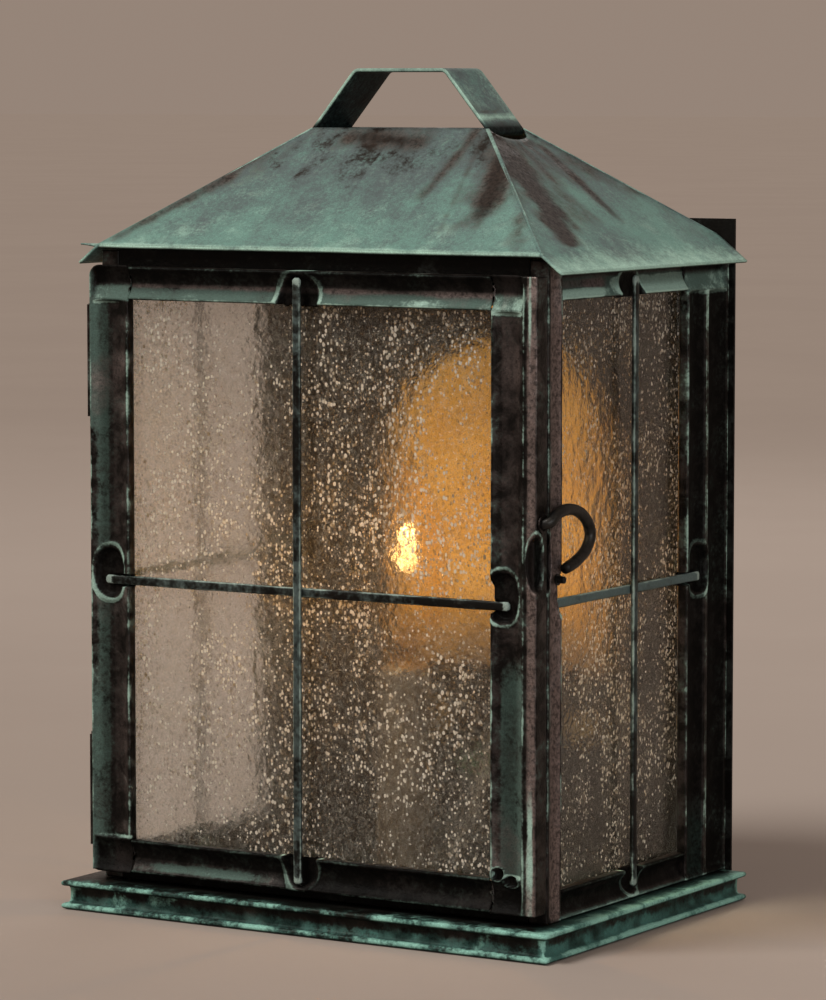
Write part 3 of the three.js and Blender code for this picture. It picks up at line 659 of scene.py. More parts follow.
def build_door():
    bar = centre_mm("door_horizontal_bar").z - box_mm("door_hinge_stile")[0].z
    upright = centre_mm("door_vertical_bar").x - box_mm("door_top_rail")[0].x
    rail_bands = (size_across("door_bottom_rail", Z), size_across("door_top_rail", Z))

    width = size_across("door_hinge_stile", X)
    member("door_hinge_stile", X, Z, Y, "door", Pressing(
        channels=((0, width, 2.2),), pockets=((8.6, bar + 3.0, 6.9, 10.4),), notch=bar, corner=5.0,
        bands=rail_bands,
        strips=dict(crust_and_light=((3, 8, 0.5), (0, 4, 0.9, 0.75, 1.1), (0, 5, 0.7, -0.1, 0.3)),
                    copper=((10, width, 0.35),))))

    # The black line in the crease beside the latch stile's raised strip is painted shade.
    width = size_across("door_latch_stile", X)
    strip = 5.2
    member("door_latch_stile", -X, Z, Y, "door", Pressing(
        channels=((strip, width, 2.0),), notch=bar, dent=(bar + 16.5, 11.3, 4.6), bands=rail_bands,
        pockets=((14.9, bar + 3.6, 6.6, 10.0), (17.2, 14.6, 2.4, 2.5), (11.4, 12.2, 3.0, 2.2)),
        strips=dict(edge=((0.3, strip - 1.4, 0.2), (1.2, 3.8, 1.3, -0.1, 0.27), (2.2, 3.6, 1.0, 0.82, 1.1)),
                    copper=((0.4, strip - 1.2, 1.3), (8, 16, 0.45, 0.4, 1.1)), soot_and_shade=((4.7, 5.5, 0.9),),
                    crust_and_light=((6, 16, 0.7, -0.1, 0.38),))))

    # The top rail is painted black on its upper part as the shadow under the roof, and green and pale on its
    # lower band, partly verdigris and partly painted light where it faces up.
    width = size_across("door_top_rail", Z)
    member("door_top_rail", -Z, X, Y, "door", Pressing(
        channels=((0, width, BAND_DEPTH),), pockets=((width, upright, 11.8, 9.5),), rimmed=False,
        strips=dict(soot_and_shade=((-2, 6.6, 1.0),), copper=((6.6, 8.4, 0.7),), crust_and_light=((8.0, 12.6, 1.0),),
                    edge=((9.6, 12.2, 0.25, -0.1, 0.22), (9.6, 12.2, 0.35, 0.72, 1.1)))))

    # The bottom rail is painted black on its upper part as shade where the hollow faces down, and along its
    # bottom edge as the shadow below the door. Low down it is black towards the latch side, and green and
    # pale towards the hinge side, partly verdigris and partly painted light.
    width = size_across("door_bottom_rail", Z)
    member("door_bottom_rail", Z, X, Y, "door", Pressing(
        channels=((0, width, BAND_DEPTH),), pockets=((width, upright + 0.6, 12.2, 8.0),), rimmed=False,
        strips=dict(soot_and_shade=((5.4, width + 2, 1.0), (-1, 6, 1.0, 0.42, 1.1), (-1, 1.2, 1.0)),
                    crust_and_light=((1.6, 4.6, 1.0, 0.06, 0.36),), edge=((2.0, 4.0, 0.3, 0.1, 0.36),))))


def build_side(name, side):
    node = f"side_{name}_"
    bar = centre_mm(node + "horizontal_bar").z - box_mm(node + "front_stile")[0].z
    upright = centre_mm(node + "vertical_bar").y - box_mm(node + "top_rail")[0].y

    def side_member(part, to_glass, along, **pressed):
        member(node + part, to_glass, along, -side * X, "housing", Pressing(**pressed))

    width = size_across(node + "front_stile", Y)
    side_member("front_stile", Y, Z, channels=((0, width, 1.1),), notch=bar,
                pockets=((width + 0.5, bar + 4.2, 3.2, 8.6),),
                dent=(bar + 16.2, 11.3, 4.2) if side > 0 else None,
                strips=dict(soot_and_shade=((0.6, 2.0, 0.9),), copper=((2.6, width - 1.2, 1.3),),
                            edge=((2.6, 3.4, 0.8), (3.0, width - 1, 1.0, 0.93, 1.1))))

    width = size_across(node + "rear_stile", Y)
    ridge = 18.2
    side_member("rear_stile", -Y, Z, channels=((0, ridge, 2.0), (ridge, width, 2.4)), notch=bar,
                pockets=((width - 11.6, bar + 3.2, 6.8, 10.3),), bands=(0, size_across(node + "top_rail", Z)),
                strips=dict(soot_and_shade=((1.5, 16.5, 1.0), (19.6, width - 2, 1.0)),
                            crust_and_light=((width - 4, width - 2, 0.7), (20, width - 4, 1.0, -0.1, 0.12))))

    # The top rail is painted black on its upper part as the shadow under the roof, and green and pale below,
    # partly verdigris and partly painted light where it faces up.
    width = size_across(node + "top_rail", Z)
    side_member("top_rail", -Z, Y, channels=((0, width, 2.8),), pockets=((width, upright - 2, 9.5, 9.0),),
                rimmed=False,
                strips=dict(soot_and_shade=((-2, 6.8, 1.0),), crust_and_light=((7.4, 14.8, 1.0),),
                            copper=((8, 12, 0.6, -0.1, 0.35),),
                            edge=((8.0, 14.8, 2.0, 0.4, 1.1), (11.4, 14.8, 1.5, -0.1, 0.4))))

    # The bottom rail is painted black above its lowest edge, as shade where the hollow faces down.
    width = size_across(node + "bottom_rail", Z)
    side_member("bottom_rail", Z, Y, channels=((0, width, 2.6),), pockets=((width, upright, 9.8, 6.8),),
                rimmed=False, strips=dict(soot_and_shade=((1.8, width + 2, 1.0),), crust_and_light=((0, 1.4, 0.8),),
                                          copper=((8, 10, 0.6, 0.15, 0.4),)))


# --- Glazing bars and glass ----------------------------------------------------------------------
def glazing_bar(name, along, outward, body, green=0.0):
    """A flat hammered bar with rubbed corners and peened ends."""
    middle = centre_mm(name)
    across = along.cross(outward)
    half_length, half_width, half_depth = (size_across(name, a) / 2 for a in (along, across, outward))
    sides = 20
    rings = []
    paint = Paint()
    for s in merged(spaced(-half_length, half_length, 2.2), spaced(-half_length, 3 - half_length, 0.5),
                    spaced(half_length - 3, half_length, 0.5)):
        from_end = half_length - abs(s)
        head = smooth(4.0, 1.5, from_end)
        ring = []
        for i in range(sides):
            turn = 2 * math.pi * (i + 0.5) / sides
            c, d = math.cos(turn), math.sin(turn)
            a = math.copysign(abs(c) ** 0.55, c) * half_width
            o = math.copysign(abs(d) ** 0.55, d) * half_depth
            size = (0.5 + 0.5 * smooth(0, 0.9, from_end)) * (1 - 0.07 * (1 + rough((a, o, s), 9, 4)))
            point = middle + along * s + (across * a + outward * o) * size
            ring.append(point)
            corner = smooth(0.55, 0.95, abs(a) / half_width) * smooth(-0.2, 0.7, o / half_depth)
            paint.add(edge=0.75 * corner * (0.8 + 0.6 * rough(point, 12, 2)) + 0.9 * head,
                      soot_and_shade=0.5 * smooth(0.0, -0.8, o / half_depth),
                      crust_and_light=green * (0.8 + 0.8 * rough(point, 20, 3)))
        rings.append(ring)
    tube(f"{name}_forged", rings, body, "glazing_bar", [name], paint)


def pane(name, across, inward, body, haze=0.0):
    """A wavy pane, tucked a little way behind its frame."""
    tuck = 4.2
    middle = centre_mm(name)
    half_width, half_height = (size_across(name, axis) / 2 - tuck for axis in (across, Z))
    half_depth = size_across(name, inward) / 2
    columns = spaced(-half_width, half_width, 1.6)
    rows = spaced(-half_height, half_height, 1.6)
    points = []
    for face in (-1, 1):
        for z in rows:
            for a in columns:
                wave = 0.12 * rough((a, z, face * 9), 12, 6) + 0.04 * rough((a, z, face * 9), 5, 8)
                points.append(middle + across * a + Z * z + inward * face * (half_depth - 0.3 + wave))
    wide, high = len(columns), len(rows)
    count = wide * high
    flip = across.cross(Z).dot(inward) > 0
    faces = grid_faces(high, wide, flip=flip)
    faces += [tuple(i + count for i in quad) for quad in grid_faces(high, wide, flip=not flip)]
    border = [*range(wide - 1), *range(wide - 1, count - 1, wide)]
    border += [*range(count - 1, count - wide, -1), *range(count - wide, 0, -wide)]
    for a, b in zip(border, border[1:] + border[:1]):
        quad = (b, a, a + count, b + count)
        faces.append(quad[::-1] if flip else quad)
    piece(f"{name}_wavy", points, faces, body, "seeded_glass", [name], {"haze": [haze] * len(points)})


# --- Roof ----------------------------------------------------------------------------------------
def roof_lines():
    """The roof's lines, from the CAD nodes: hem_x and opening_x lie a little inside theirs."""
    cover_low, cover_high = box_mm("roof_cover")
    end_low, end_high = box_mm("roof_end_right")
    strap_low, strap_high = box_mm("strap_handle")
    roof = SimpleNamespace(front=cover_low.y, back=end_high.y, ridge=cover_high.z, hem=cover_low.z + 1.7,
                           skirt=end_low.z, skirt_x=end_high.x, hem_x=100.4, ridge_x=strap_high.x,
                           opening_x=36.5, middle=(strap_high.y + strap_low.y) / 2,
                           strap_half=(strap_high.y - strap_low.y) / 2)
    roof.ridge_front = roof.middle - roof.strap_half - 0.1
    roof.ridge_back = roof.middle + roof.strap_half + 0.1
    roof.rise = roof.ridge - roof.hem
    roof.run = roof.ridge_front - roof.front
    roof.back_run = roof.back - roof.ridge_back
    roof.back_fall = roof.back_run * roof.rise / roof.run
    roof.reach = roof.hem_x - roof.ridge_x
    return roof


ROOF = roof_lines()


def fall(z):
    """How far down the roof a height is: 0 at the ridge and 1 at the hem."""
    return (ROOF.ridge - z) / ROOF.rise


def hip_x(z):
    """How far out the hips are at a height."""
    return ROOF.ridge_x + ROOF.reach * fall(z)


def down_streaks(point, size=7.0, seed=0):
    """Streaks of about -1 to 1 that fan down the roof from the nearer end of its ridge."""
    x, y, z = point
    past = abs(x) - ROOF.ridge_x
    reach = math.hypot(past, y - ROOF.middle, (ROOF.ridge - z) * 1.5)
    across = math.atan2(y - ROOF.middle, past) * 30 if past > -8 else x + 90
    return rough((across, 0.22 * reach, math.copysign(40, x)), size, seed)


@dataclass
class Run:
    """A run of bare metal down a roof sheet, in millimetres along the eave and below the ridge."""

    start: tuple
    end: tuple
    half_width: float
    amount: float

    def at(self, along, below):
        span = Vector(self.end) - Vector(self.start)
        place = Vector((along, below)) - Vector(self.start)
        t = min(max(place.dot(span) / span.length_squared, 0), 1)
        away = (place - span * t).length
        ragged = self.half_width * (1 + 0.5 * rough((along, below, 0), 6, 1))
        return self.amount * smooth(2.4 * ragged, 0.0, away)


FRONT_RUNS = (Run((-20, 3), (14, 5), 3.2, 0.8), Run((36, 2), (32, 25), 2.4, 0.75),
              Run((41, 4), (50, 37), 1.4, 0.5), Run((57, 13), (63, 30), 6.0, 1.0),
              Run((82, 34), (88, 42), 3.6, 0.7), Run((-94, 42), (-62, 19), 2.5, 0.8))
END_RUNS = (Run((-89, 6), (-105, 28), 7.5, 1.15), Run((-105, 28), (-120, 41), 5.0, 1.15),
            Run((-60, 8), (-63, 32), 2.8, 0.9), Run((-75, 4), (-80, 20), 2.0, 0.6),
            Run((-45, 10), (-34, 30), 3.0, 0.5))


def bare_copper(point, runs=()):
    """Where the roof shows brown metal: in runs, below the ridge's ends and beside the hips."""
    x, y, z = point
    below = ROOF.ridge - z
    down_runs = max((run.at(x if runs is FRONT_RUNS else y, below) for run in runs), default=0)
    beside = abs(abs(x) - hip_x(z))
    fan = smooth(-0.35, 0.6, down_streaks(point, 6)) * smooth(40, 4, below) * smooth(26, 2, beside)
    top = 0.8 * smooth(8, 1, below) * smooth(-0.4, 0.5, rough(point, 16, 3))
    seam = 0.75 * smooth(7, 1, beside) * smooth(-0.4, 0.5, rough(point, 22, 5)) * smooth(2, 12, below)
    return max(0.6 * fan, 0.6 * top, 0.8 * seam, down_runs)


def roof_panel(name, corner, outward, replaces=(), rows=44, columns=120, pale=None, copper=None, flip=False):
    """A roof sheet whose outer surface is `corner`, a function of two shares (along, up)."""
    points = []
    paint = Paint()
    for r in range(rows + 1):
        for c in range(columns + 1):
            point = corner(c / columns, r / rows)
            inside = min(c, columns - c, r, rows - r)
            dip = smooth(0, 3, inside) * (0.35 + 0.3 * rough(point, 34, 2) + 0.12 * rough(point, 11, 5))
            points.append(point - outward * dip)
            bare = copper(point)
            paint.add(edge=pale(point) if pale else 0.0, copper=bare, soot_and_shade=0.6 * smooth(0.6, 1.0, bare),
                      crust_and_light=0.9 * smooth(0.1, 1.0, fall(point.z)) - 0.35 + 0.5 * down_streaks(point, 9, 4))
    piece(name, points, grid_faces(rows + 1, columns + 1, flip=flip), "housing", "verdigris_roof", replaces,
          paint, sheet=PLATE)


def build_roof():
    def slope(y, y_change, z, z_change):
        """A sheet between the hips, from (y, z) to the far end of the two changes."""
        def corner(a, share):
            height = z + z_change * share
            return Vector(((hip_x(height) - 0.3) * (2 * a - 1), y + y_change * share, height))
        return corner

    def eave_pale(point):
        # Paler towards the eave, with a pale line at the hem, partly verdigris and partly a painted highlight
        # on the hem.
        below = fall(point.z)
        return 0.2 * smooth(0.4, 1.0, below) + 0.7 * smooth(0.985, 1.0, below)

    roof_panel("roof_front_slope", slope(ROOF.front, ROOF.run, ROOF.hem, ROOF.rise),
               Vector((0, -ROOF.rise, ROOF.run)).normalized(), ["roof_cover"], pale=eave_pale,
               copper=lambda point: bare_copper(point, FRONT_RUNS))
    roof_panel("roof_back_slope", slope(ROOF.ridge_back, ROOF.back_run, ROOF.ridge, -ROOF.back_fall),
               Vector((0, ROOF.rise, ROOF.run)).normalized(), rows=28, copper=bare_copper)

    def flat_top(a, deep):
        y = ROOF.ridge_front + (ROOF.ridge_back - ROOF.ridge_front) * deep
        return Vector((ROOF.opening_x * (2 * a - 1), y, ROOF.ridge))

    roof_panel("roof_flat_top", flat_top, Z, rows=10, columns=30, copper=lambda point: 0.4)
    for name, side in SIDES.items():
        build_roof_end(name, side)
    build_hem()
    for name, side in SIDES.items():
        build_hips(name, side)


def build_roof_end(name, side):
    fold = 0.16                 # share of the panel's rows that its skirt takes

    def panel(a, up):
        """Along from front to back, up from the skirt's edge, over the fold at the eave, to the ridge."""
        if up <= fold:
            share = 1 - up / fold
            x = ROOF.hem_x + (ROOF.skirt_x - ROOF.hem_x) * share
            z = ROOF.hem - (ROOF.hem - ROOF.skirt - 0.3) * share
            y = ROOF.front + (ROOF.back - ROOF.front) * a
        else:
            share = (up - fold) / (1 - fold)
            y_low = ROOF.front + ROOF.run * share
            y_high = min(ROOF.back, ROOF.ridge_back + (1 - share) * ROOF.run)
            y = y_low + (y_high - y_low) * a
            dish = 5.2 * math.sqrt(max(1 - ((y - ROOF.middle) / 13.2) ** 2, 0)) + 0.6
            x = ROOF.hem_x - (ROOF.reach - dish * smooth(0.55, 1.0, share)) * share
            z = ROOF.hem + (ROOF.hem_x - x) * ROOF.rise / ROOF.reach
        return Vector((side * x, y, z))

    def pale(point):
        out = abs(point.x)
        # The skirt is painted pale, partly verdigris and partly a painted highlight along the band at the
        # eave.
        on_skirt = 0.7 * smooth(ROOF.hem_x - 4, ROOF.skirt_x, out)
        rubbed_and_lit = 0.3 * smooth(ROOF.skirt_x - 2, ROOF.skirt_x, out)
        return 0.15 * smooth(0.3, 0.9, fall(point.z)) + on_skirt + rubbed_and_lit

    def copper(point):
        above_eave = smooth(ROOF.hem, ROOF.hem + 3, point.z)
        streaks = 0.6 * smooth(-0.2, 0.7, down_streaks(point, 5, 2)) * smooth(48, 6, ROOF.ridge - point.z)
        return above_eave * max(bare_copper(point, END_RUNS), streaks)

    roof_panel(f"roof_end_{name}_sheet", panel, Vector((side * ROOF.rise, 0, ROOF.reach)).normalized(),
               [f"roof_end_{name}"], columns=76, pale=pale, copper=copper, flip=side < 0)


def build_hem():
    """The rolled hem under the front slope, which runs on as a thin sliver past the left hip."""
    rings = []
    paint = Paint()
    sides = 12
    left, right = -ROOF.skirt_x + 0.6, ROOF.hem_x + 0.4
    for x in spaced(left, right, 2.5):
        beyond = smooth(-ROOF.hem_x + 2, left, x)
        radius = 0.85 * (1 - 0.6 * beyond)
        droop = 0.15 * rough((x, 0, 0), 30, 1)
        centre = Vector((x, ROOF.front + 0.9, ROOF.hem - 0.75 + droop + 0.5 * beyond))
        rings.append(oval(centre, Y * radius, Z * radius, sides))
        for i in range(sides):
            # The hem is painted pale, partly verdigris and partly a painted highlight along the roll; the
            # sliver past the hip is less pale.
            paint.add(edge=(1.15 - 0.95 * beyond) * (0.9 + 0.4 * rough((x, i, 0), 12, 3)))
    tube("roof_front_hem", rings, "housing", "verdigris_roof", (), paint)


def build_hips(name, side):
    """The lapped seams along a side's two hips."""
    low_back = ROOF.ridge - ROOF.back_fall
    feet = {"front": (ROOF.hem_x - 0.2, ROOF.front + 0.6, ROOF.hem - 0.5),
            "back": (hip_x(low_back), ROOF.back - 0.6, low_back - 0.4)}
    for end, (x, y, z) in feet.items():
        foot = Vector((side * x, y, z))
        head_y = ROOF.ridge_front if end == "front" else ROOF.ridge_back
        head = Vector((side * ROOF.ridge_x, head_y, ROOF.ridge - 0.35))
        along = (head - foot).normalized()
        across = along.cross(Z).normalized()
        up = across.cross(along)
        rings = []
        paint = Paint()
        for t in spaced(0, 1, 0.03):
            centre = foot + (head - foot) * t
            size = 0.62 + 0.08 * rough(centre, 8, 2)
            rings.append(oval(centre, across * size * 1.3, up * size * 0.6, 10))
            for _ in rings[-1]:
                paint.add(edge=0.45 + 0.5 * rough(centre, 18, 7),
                          copper=0.5 * smooth(0.0, 0.5, rough(centre, 26, 8)))
        tube(f"roof_hip_{name}_{end}", rings, "housing", "verdigris_roof", (), paint)


def build_strap():
    """The handle: a strip bent with small radii, let in through the gaps at the ridge's ends."""
    low, high = box_mm("strap_handle")
    thickness = 1.5
    bend = 1.7
    top = high.z - thickness / 2
    foot = low.z + thickness / 2
    corners = ((27, foot), (39.8, foot), (40.2, foot + 1.6), (20.6, top))
    half = [Vector((x, ROOF.middle, z)) for x, z in corners]
    route = [Vector((-p.x, p.y, p.z)) for p in half] + half[::-1]
    path = [route[0]]
    for before, at, after in zip(route, route[1:], route[2:]):
        reach = min(bend, (before - at).length / 2.2, (after - at).length / 2.2)
        a = at + (before - at).normalized() * reach
        b = at + (after - at).normalized() * reach
        path += [a * (1 - t) ** 2 + at * 2 * t * (1 - t) + b * t ** 2 for t in (0, 0.25, 0.5, 0.75, 1)]
    path.append(route[-1])
    dense = [path[0]]
    for a, b in zip(path, path[1:]):
        count = max(1, int((b - a).length / 2.5))
        dense += [a + (b - a) * i / count for i in range(1, count + 1)]

    # The strip's section: shares of its half width and half thickness, from one edge underneath.
    under = [(-1, -0.4), (-0.99, -0.85), (-0.955, -1), (-0.5, -1), (0, -1)]
    under += [(-w, h) for w, h in under[-2::-1]]
    section = under + [(-w, -h) for w, h in under]
    rings = []
    paint = Paint()
    for _, point, _, normal in frames_along(dense, Y):
        ring = [point + Y * w * ROOF.strap_half * 0.995 + normal * h * thickness / 2 for w, h in section]
        rings.append(ring)
        for (w, h), place in zip(section, ring):
            # The strip's underside is painted black as shade, and its foot below the ridge black as painted
            # shadow in the gap. Its edges are pale as rubbed, the outer face of the legs is a little paler as
            # painted light, a pale line runs just above the foot, and the top is a little darker.
            leg = smooth(20, 24, abs(place.x))
            low_down = smooth(ROOF.ridge + 3.0, ROOF.ridge + 1.0, place.z)
            foot_line = bump(place.z, ROOF.ridge + 4.2, 1.0) * max(h, 0)
            rubbed_and_lit = 0.85 * smooth(0.93, 1.0, abs(w)) + 0.1 * leg * max(h, 0) + 0.8 * foot_line
            paint.add(edge=rubbed_and_lit * (1 - low_down), copper=0.8 * smooth(0.0, 0.4, rough(place, 13, 4)) * leg,
                      soot_and_shade=max(smooth(0.2, 0.9, -h), low_down, 0.25 * (1 - leg)))
    tube("strap_handle_bent", rings, "housing", "verdigris_roof", ["strap_handle"], paint)


# --- Tray ----------------------------------------------------------------------------------------
def tray_outline(height):
    """(out, down) points round the pan's edge: deck, rolled lip, set-back web and rolled lower lip."""
    lip = 1.25
    web = 2.6

    def roll(top, fall):
        turns = (math.pi * i / 8 for i in range(1, 8))
        return [(-lip + lip * math.sin(a), top - fall * (1 - math.cos(a))) for a in turns]

    web_line = [(-web - 0.15 * math.sin(math.pi * t), -3.1 - (height - 6.4) * t) for t in spaced(0, 1, 0.2)]
    return [(-22.0, 0.0), (-12.0, 0.0), (-lip, 0.0), *roll(0.0, 0.9 * lip), (0.3 - web, -1.8 * lip - 0.1),
            *web_line, (0.4 - web, 2.6 - height), *roll(2.3 - height, 1.15), (-lip - 1.5, 0.02 - height),
            (-8.6, 0.02 - height)]


def build_tray_rim(low, high):
    height = high.z - low.z
    outline = tray_outline(height)
    corners = [Vector((x, y, high.z)) for x, y in
               ((low.x, low.y), (high.x, low.y), (high.x, high.y), (low.x, high.y))]
    stations = []
    for start, end in zip(corners, corners[1:] + corners[:1]):
        length = (end - start).length
        stations += [(start, (end - start) / length, length, s / length) for s in spaced(0, length, 3.0)[:-1]]
    points = []
    paint = Paint()
    for base, direction, length, share in stations:
        normal = direction.cross(Z)
        to_right = smooth(-0.2, 0.2, normal.x)
        for out, down in outline:
            inset = -out
            along = inset + (length - 2 * inset) * share
            wobble = 0.0
            if inset < 6:
                place = (base.x + share * length, base.y, down)
                wobble = 0.12 * rough(place, 18, 3) * smooth(0.4, 1.6, inset)
            point = base + direction * along - normal * (inset + wobble) + Z * down
            points.append(point)
            in_web = smooth(-1.5, -3.2, down) * smooth(1.2 - height, 3.0 - height, down)
            in_web *= smooth(1.4, 2.2, inset)
            seam = bump(min(along - inset, length - inset - along), 0, 0.9) * in_web
            # The rolled lips are pale, partly rubbed verdigris and partly a painted highlight where they
            # catch the light, much more on the right-hand side; the deck inside the lip is painted black.
            on_deck = smooth(0.9 + 0.7 * to_right, 2.4 + 1.8 * to_right, inset) if down > -1 else 0.0
            lips = (1 - in_web) * smooth(1.7 + 1.2 * to_right, 0.7, inset)
            worn_and_lit = (0.22 + 0.78 * to_right) * lips
            black = (1 - 0.25 * to_right) * smooth(-0.7 + 0.4 * to_right, 0.3, rough(point, 6, 8))
            low_in_web = smooth(0.2, 0.8, (-down - 3) / (height - 6))
            paint.add(
                edge=(worn_and_lit * (0.8 + 0.45 * rough(point, 15, 6) + 0.5 * rough(point, 5, 7)) + 0.9 * seam
                      + 0.5 * in_web * smooth(0.25, 0.5, rough(point, 16, 12))),
                soot_and_shade=max(on_deck, black * in_web * (1 - seam)),
                copper=(0.35 + 0.5 * smooth(-0.3, 0.3, rough(point, 20, 5))) * (1 - to_right),
                crust_and_light=(in_web * (0.6 * low_in_web + 0.1 * to_right) + 0.8 * lips * to_right
                       - 0.55 * (1 - to_right)))
    piece("base_tray_rim", points, grid_faces(len(stations), len(outline), close=True), "housing",
          "verdigris_tray", ["base_tray"], paint, sheet=PLATE)


def build_tray_deck(low, high):
    """The flat of the pan, from the rim's inner edge to the hole that the lamp's stem goes through."""
    rim = 21.5
    hole = 5.4
    sides = 96
    lamp = centre_mm("lamp_stem")
    points = []
    for out in oval(Vector(), X, Y, sides):
        reach = min(((high[i] - rim if out[i] > 0 else low[i] + rim) - lamp[i]) / out[i]
                    for i in (0, 1) if abs(out[i]) > 1e-6)
        for t in spaced(0, 1, 0.06):
            r = hole + (reach - hole) * t
            sag = 0.25 * smooth(0, 6, min(r - hole, reach - r)) * (1 + rough(out * r, 30, 4))
            points.append(Vector((lamp.x, lamp.y, high.z - 0.04 - sag)) + out * r)
    paint = {"soot_and_shade": [0.9 + 0.2 * rough(p, 30, 2) for p in points]}
    piece("base_tray_deck", points, grid_faces(sides, len(points) // sides, close=True), "housing",
          "verdigris_tray", (), paint, sheet=PLATE)


# --- Latch, reflector and lamp -------------------------------------------------------------------
def build_latch():
    """The hook: round wire with a square-cut end, from its bush round to its stop peg."""
    door_face = box_mm("door_latch_stile")[0].y
    deck = box_mm("base_tray")[1].z
    route = [(96.5, 4.2, 151.5), (99.5, 4.2, 151.5), (102.4, 4.2, 151.5), (104.6, 5.6, 152.6),
             (105, 9.4, 155), (105, 17, 156.2), (105, 25.5, 154.6), (105, 32, 150.4), (105, 34.4, 145),
             (105, 30.6, 139.6), (105, 23.4, 136.2), (105, 15.2, 134)]
    path = smooth_path([(x, y + door_face, z + deck) for x, y, z in route], 6)
    rings = []
    for i, point, across, other in frames_along(path, Z):
        cut = 0.12 * smooth(0.97, 1.0, i / (len(path) - 1))
        radius = 2.2 * (1 - cut + 0.03 * rough(point, 5, 1))
        rings.append(oval(point, across * radius, other * radius, 16))
    tube("latch_hook_wire", rings, "latch", "latch_wire", ["latch_hook"])


def build_reflector():
    """A concave arched sheet with a lightly planished face, painted darker at its foot and sides as shade
    where less of the flame's light falls.
    """
    low, high = box_mm("reflector")
    half = (high.x - low.x) / 2
    radius = 130.0
    points = []
    paint = Paint()
    across = spaced(-1, 1, 0.04)
    up = spaced(0, 1, 0.025)
    for t in up:
        for a in across:
            x = a * half
            top = high.z - half + math.sqrt(max(1 - a * a, 0)) * half
            z = low.z + (top - low.z) * t
            y = high.y - radius + math.sqrt(radius ** 2 - x ** 2)
            hammered = 0.09 * (1 + rough((x, z, 0), 9, 2))
            points.append(Vector((x, y - hammered - 0.05, z)))
            paint.add(soot_and_shade=max(smooth(0.3, 0.0, t), 0.8 * smooth(0.72, 1.0, abs(a))))
    piece("reflector_planished", points, grid_faces(len(up), len(across)), "housing", "reflector_copper",
          ["reflector"], paint, sheet=0.8)


def build_lamp():
    low, high = box_mm("candle_sleeve")
    axis = Y * (low.y + high.y) / 2
    radius = (high.x - low.x) / 2
    foot, top = low.z, high.z
    sleeve = [(radius - 1.2, foot), (radius - 0.1, foot), (radius, foot + 0.4), (radius - 0.15, foot + 30),
              (radius, top - 6), (radius - 0.1, top - 0.5), (radius - 0.5, top), (radius - 1.2, top - 0.4),
              (radius - 1.2, foot)]
    lathe("candle_sleeve_turned", sleeve, axis, "housing", "candle_sleeve", ["candle_sleeve"])

    low, high = box_mm("bulb_glass")
    widest = (high.x - low.x) / 2
    height = high.z - low.z
    flame = [(0.43, 0.0), (0.50, 0.05), (0.66, 0.13), (0.83, 0.22), (0.95, 0.32), (1.0, 0.43), (0.97, 0.53),
             (0.88, 0.63), (0.74, 0.73), (0.54, 0.83), (0.34, 0.90), (0.17, 0.955), (0.07, 0.985), (0.0, 1.0)]
    outer = [(widest * r, low.z + height * h) for r, h in flame]
    inner = [(max(r - 0.9, 0), h - (0.9 if r < 2 else 0.2)) for r, h in outer]
    inner[0] = (inner[0][0], low.z)
    lathe("bulb_glass_blown", outer + inner[::-1] + [outer[0]], axis, "bulb", "bulb_glass", ["bulb_glass"],
          segments=48)

    low, high = box_mm("bulb_base")
    turns = 5
    thread_foot = low.z + 5
    pitch = (high.z - 4.5 - thread_foot) / turns
    thread = [(5.75 + 0.25 * math.cos(2 * math.pi * t), thread_foot + pitch * t)
              for t in spaced(0, turns, 0.25)]
    profile = [(0, low.z), (2.4, low.z + 0.1), (2.6, low.z + 1.6), (5.4, low.z + 4), *thread,
               (6.0, high.z - 4), (7.5, high.z - 3.4), (7.6, high.z - 0.4), (7.2, high.z), (0, high.z)]
    lathe("bulb_base_threaded", profile, axis, "bulb", "brass", ["bulb_base"])
    build_filament()


def build_filament():
    """A glowing coil round the upper part of a hairpin, on two plain legs."""
    low, high = box_mm("bulb_filament")
    middle = (low + high) / 2
    height = high.z - low.z
    wire = 0.28

    def wound(name, shape, finish, coil=0.0):
        spine = smooth_path([(middle.x + x, middle.y, low.z + height * h) for x, h in shape], 30)
        rings = []
        for i, point, across, other in frames_along(spine, Y):
            turn = 0.9 * i
            reach = coil * smooth(0, 12, min(i, len(spine) - 1 - i))
            centre = point + (across * math.cos(turn) + other * math.sin(turn)) * reach
            rings.append(oval(centre, across * wire, other * wire, 6))
        tube(name, rings, "bulb", "filament", ["bulb_filament"], material=finish)

    hairpin = [(-2.2, 0.34), (-2.4, 0.54), (-1.6, 0.8), (0, 0.9), (1.6, 0.8), (2.4, 0.54), (2.2, 0.34)]
    wound("bulb_filament_coil", hairpin, "filament", coil=0.8)
    for name, side in SIDES.items():
        wound(f"bulb_filament_leg_{name}", [(side * 2.4, 0.02), (side * 3.0, 0.18), (side * 2.2, 0.34)],
              "filament_leg")


# --- Stage ---------------------------------------------------------------------------------------
def add_light(name, kind, energy, place, colour, size):
    """A soft light; a sun's size is its angle in degrees and the others' is in metres."""
    data = bpy.data.lights.new(name, kind)
    data.energy = energy
    data.color = colour
    if kind == "SUN":
        data.angle = math.radians(size)
    elif kind == "AREA":
        data.shape = "DISK"
        data.size = size
    else:
        data.shadow_soft_size = size
    lamp = bpy.data.objects.new(name, data)
    lamp.location = place
    aim = Vector((0, -0.08, 0))
    lamp.rotation_euler = (aim - Vector(place)).to_track_quat("-Z", "Y").to_euler()
    lamp.visible_transmission = lamp.visible_glossy = kind != "POINT"
    bpy.context.scene.collection.objects.link(lamp)


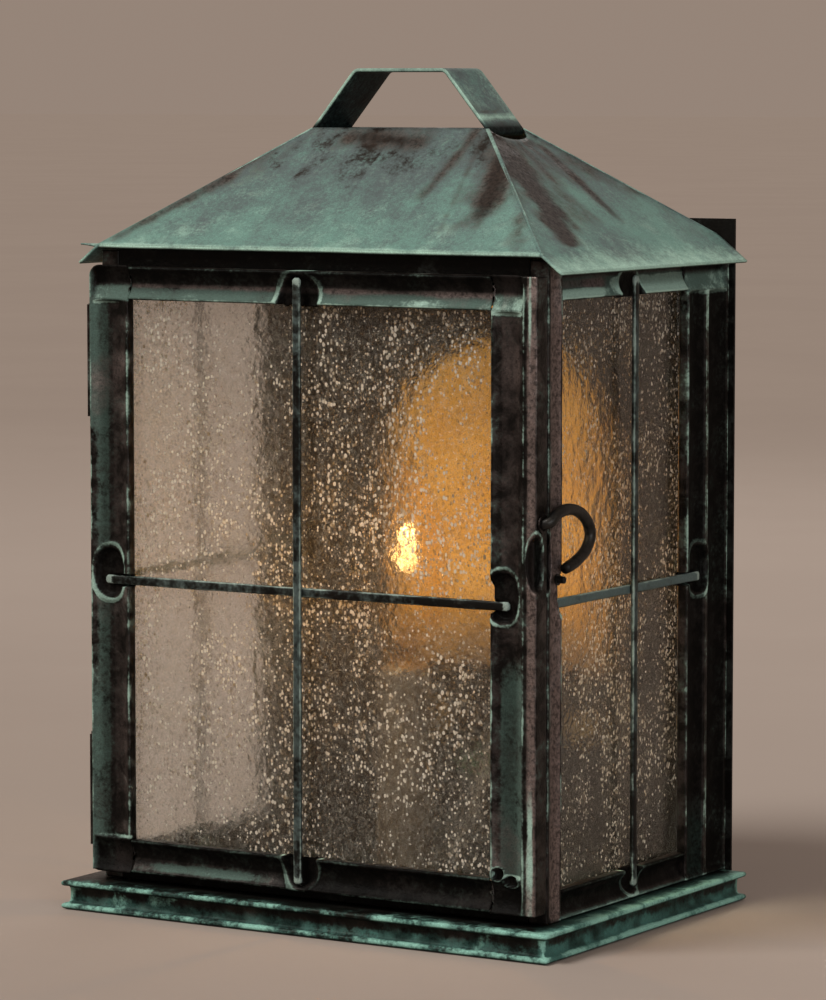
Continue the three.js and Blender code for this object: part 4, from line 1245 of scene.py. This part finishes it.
def build_stage():
    """The fitted camera, a soft room, the lights and a plain floor."""
    scene = bpy.context.scene
    camera_data = bpy.data.cameras.new("camera")
    camera_data.lens = 161.85
    camera_data.sensor_width = 36
    camera = bpy.data.objects.new("camera", camera_data)
    camera.location = (0.93127, -1.58616, 0.18852)
    camera.rotation_euler = (math.radians(84.73), 0, math.radians(31.66))
    scene.collection.objects.link(camera)
    scene.camera = camera

    world = bpy.data.worlds.new("soft_room")
    world.use_nodes = True
    background = world.node_tree.nodes["Background"]
    background.inputs["Color"].default_value = (0.302, 0.233, 0.190, 1)
    background.inputs["Strength"].default_value = 1.0
    scene.world = world

    add_light("key", "SUN", 2.38, (-0.9, -1.35, 1.75), (1.0, 0.965, 0.91), 24)
    add_light("fill", "AREA", 14, (1.6, -1.2, 0.5), (0.92, 0.96, 1.0), 1.2)
    add_light("back", "AREA", 6, (-0.6, 1.4, 1.2), (1.0, 0.97, 0.94), 1.2)
    add_light("flame", "POINT", 0.29, centre_mm("bulb_filament") * MM, (1.0, 0.56, 0.20), 0.004)

    height = CAD_BOX[0][2] - 0.0003
    reach = 40.0
    mesh = bpy.data.meshes.new("floor")
    corners = [(x * reach, y * reach, height) for x, y in ((-1, -1), (1, -1), (1, 1), (-1, 1))]
    mesh.from_pydata(corners, [], [(0, 1, 2, 3)])
    floor = bpy.data.objects.new("floor", mesh)
    scene.collection.objects.link(floor)
    floor.data.materials.append(simple("floor", (0.340, 0.289, 0.257), (0.350, 0.298, 0.265), 0.85, 0.0,
                                       scale=3, specular=0.0))
    scene.view_settings.view_transform = "Standard"


# The header and sill get the near-black copy as painted shade; the back plate gets its own darker patina.
SPECIAL_PAINT = {"front_header": "painted_shade_frame", "front_sill": "painted_shade_frame", "back_plate": "back_sheet"}


def paint_cad_nodes():
    """Gives the CAD nodes that stay visible the material of their slot in the record, except the header and
    sill, which get a near-black copy of the frame's patina as painted shade, and the back plate, which gets
    its own darker patina.
    """
    for part in frame["record"]["subparts"]:
        node = part["node"]
        materials = bpy.data.objects[node].data.materials
        materials.clear()
        materials.append(MATERIALS[SPECIAL_PAINT.get(node, part["material_slot"])])


paint_cad_nodes()
build_stage()
build_door()
for side_name, side_sign in SIDES.items():
    build_side(side_name, side_sign)
    glazing_bar(f"side_{side_name}_vertical_bar", Z, side_sign * X, "housing", green=0.1)
    glazing_bar(f"side_{side_name}_horizontal_bar", Y, side_sign * X, "housing", green=1.2)
    pane(f"side_{side_name}_glass", Y, -side_sign * X, "housing")
glazing_bar("door_vertical_bar", Z, -Y, "door", green=0.2)
glazing_bar("door_horizontal_bar", X, -Y, "door")
pane("door_glass", X, Y, "door", haze=1.0)
build_roof()
build_strap()
build_tray_rim(*box_mm("base_tray"))
build_tray_deck(*box_mm("base_tray"))
build_latch()
build_reflector()
build_lamp()
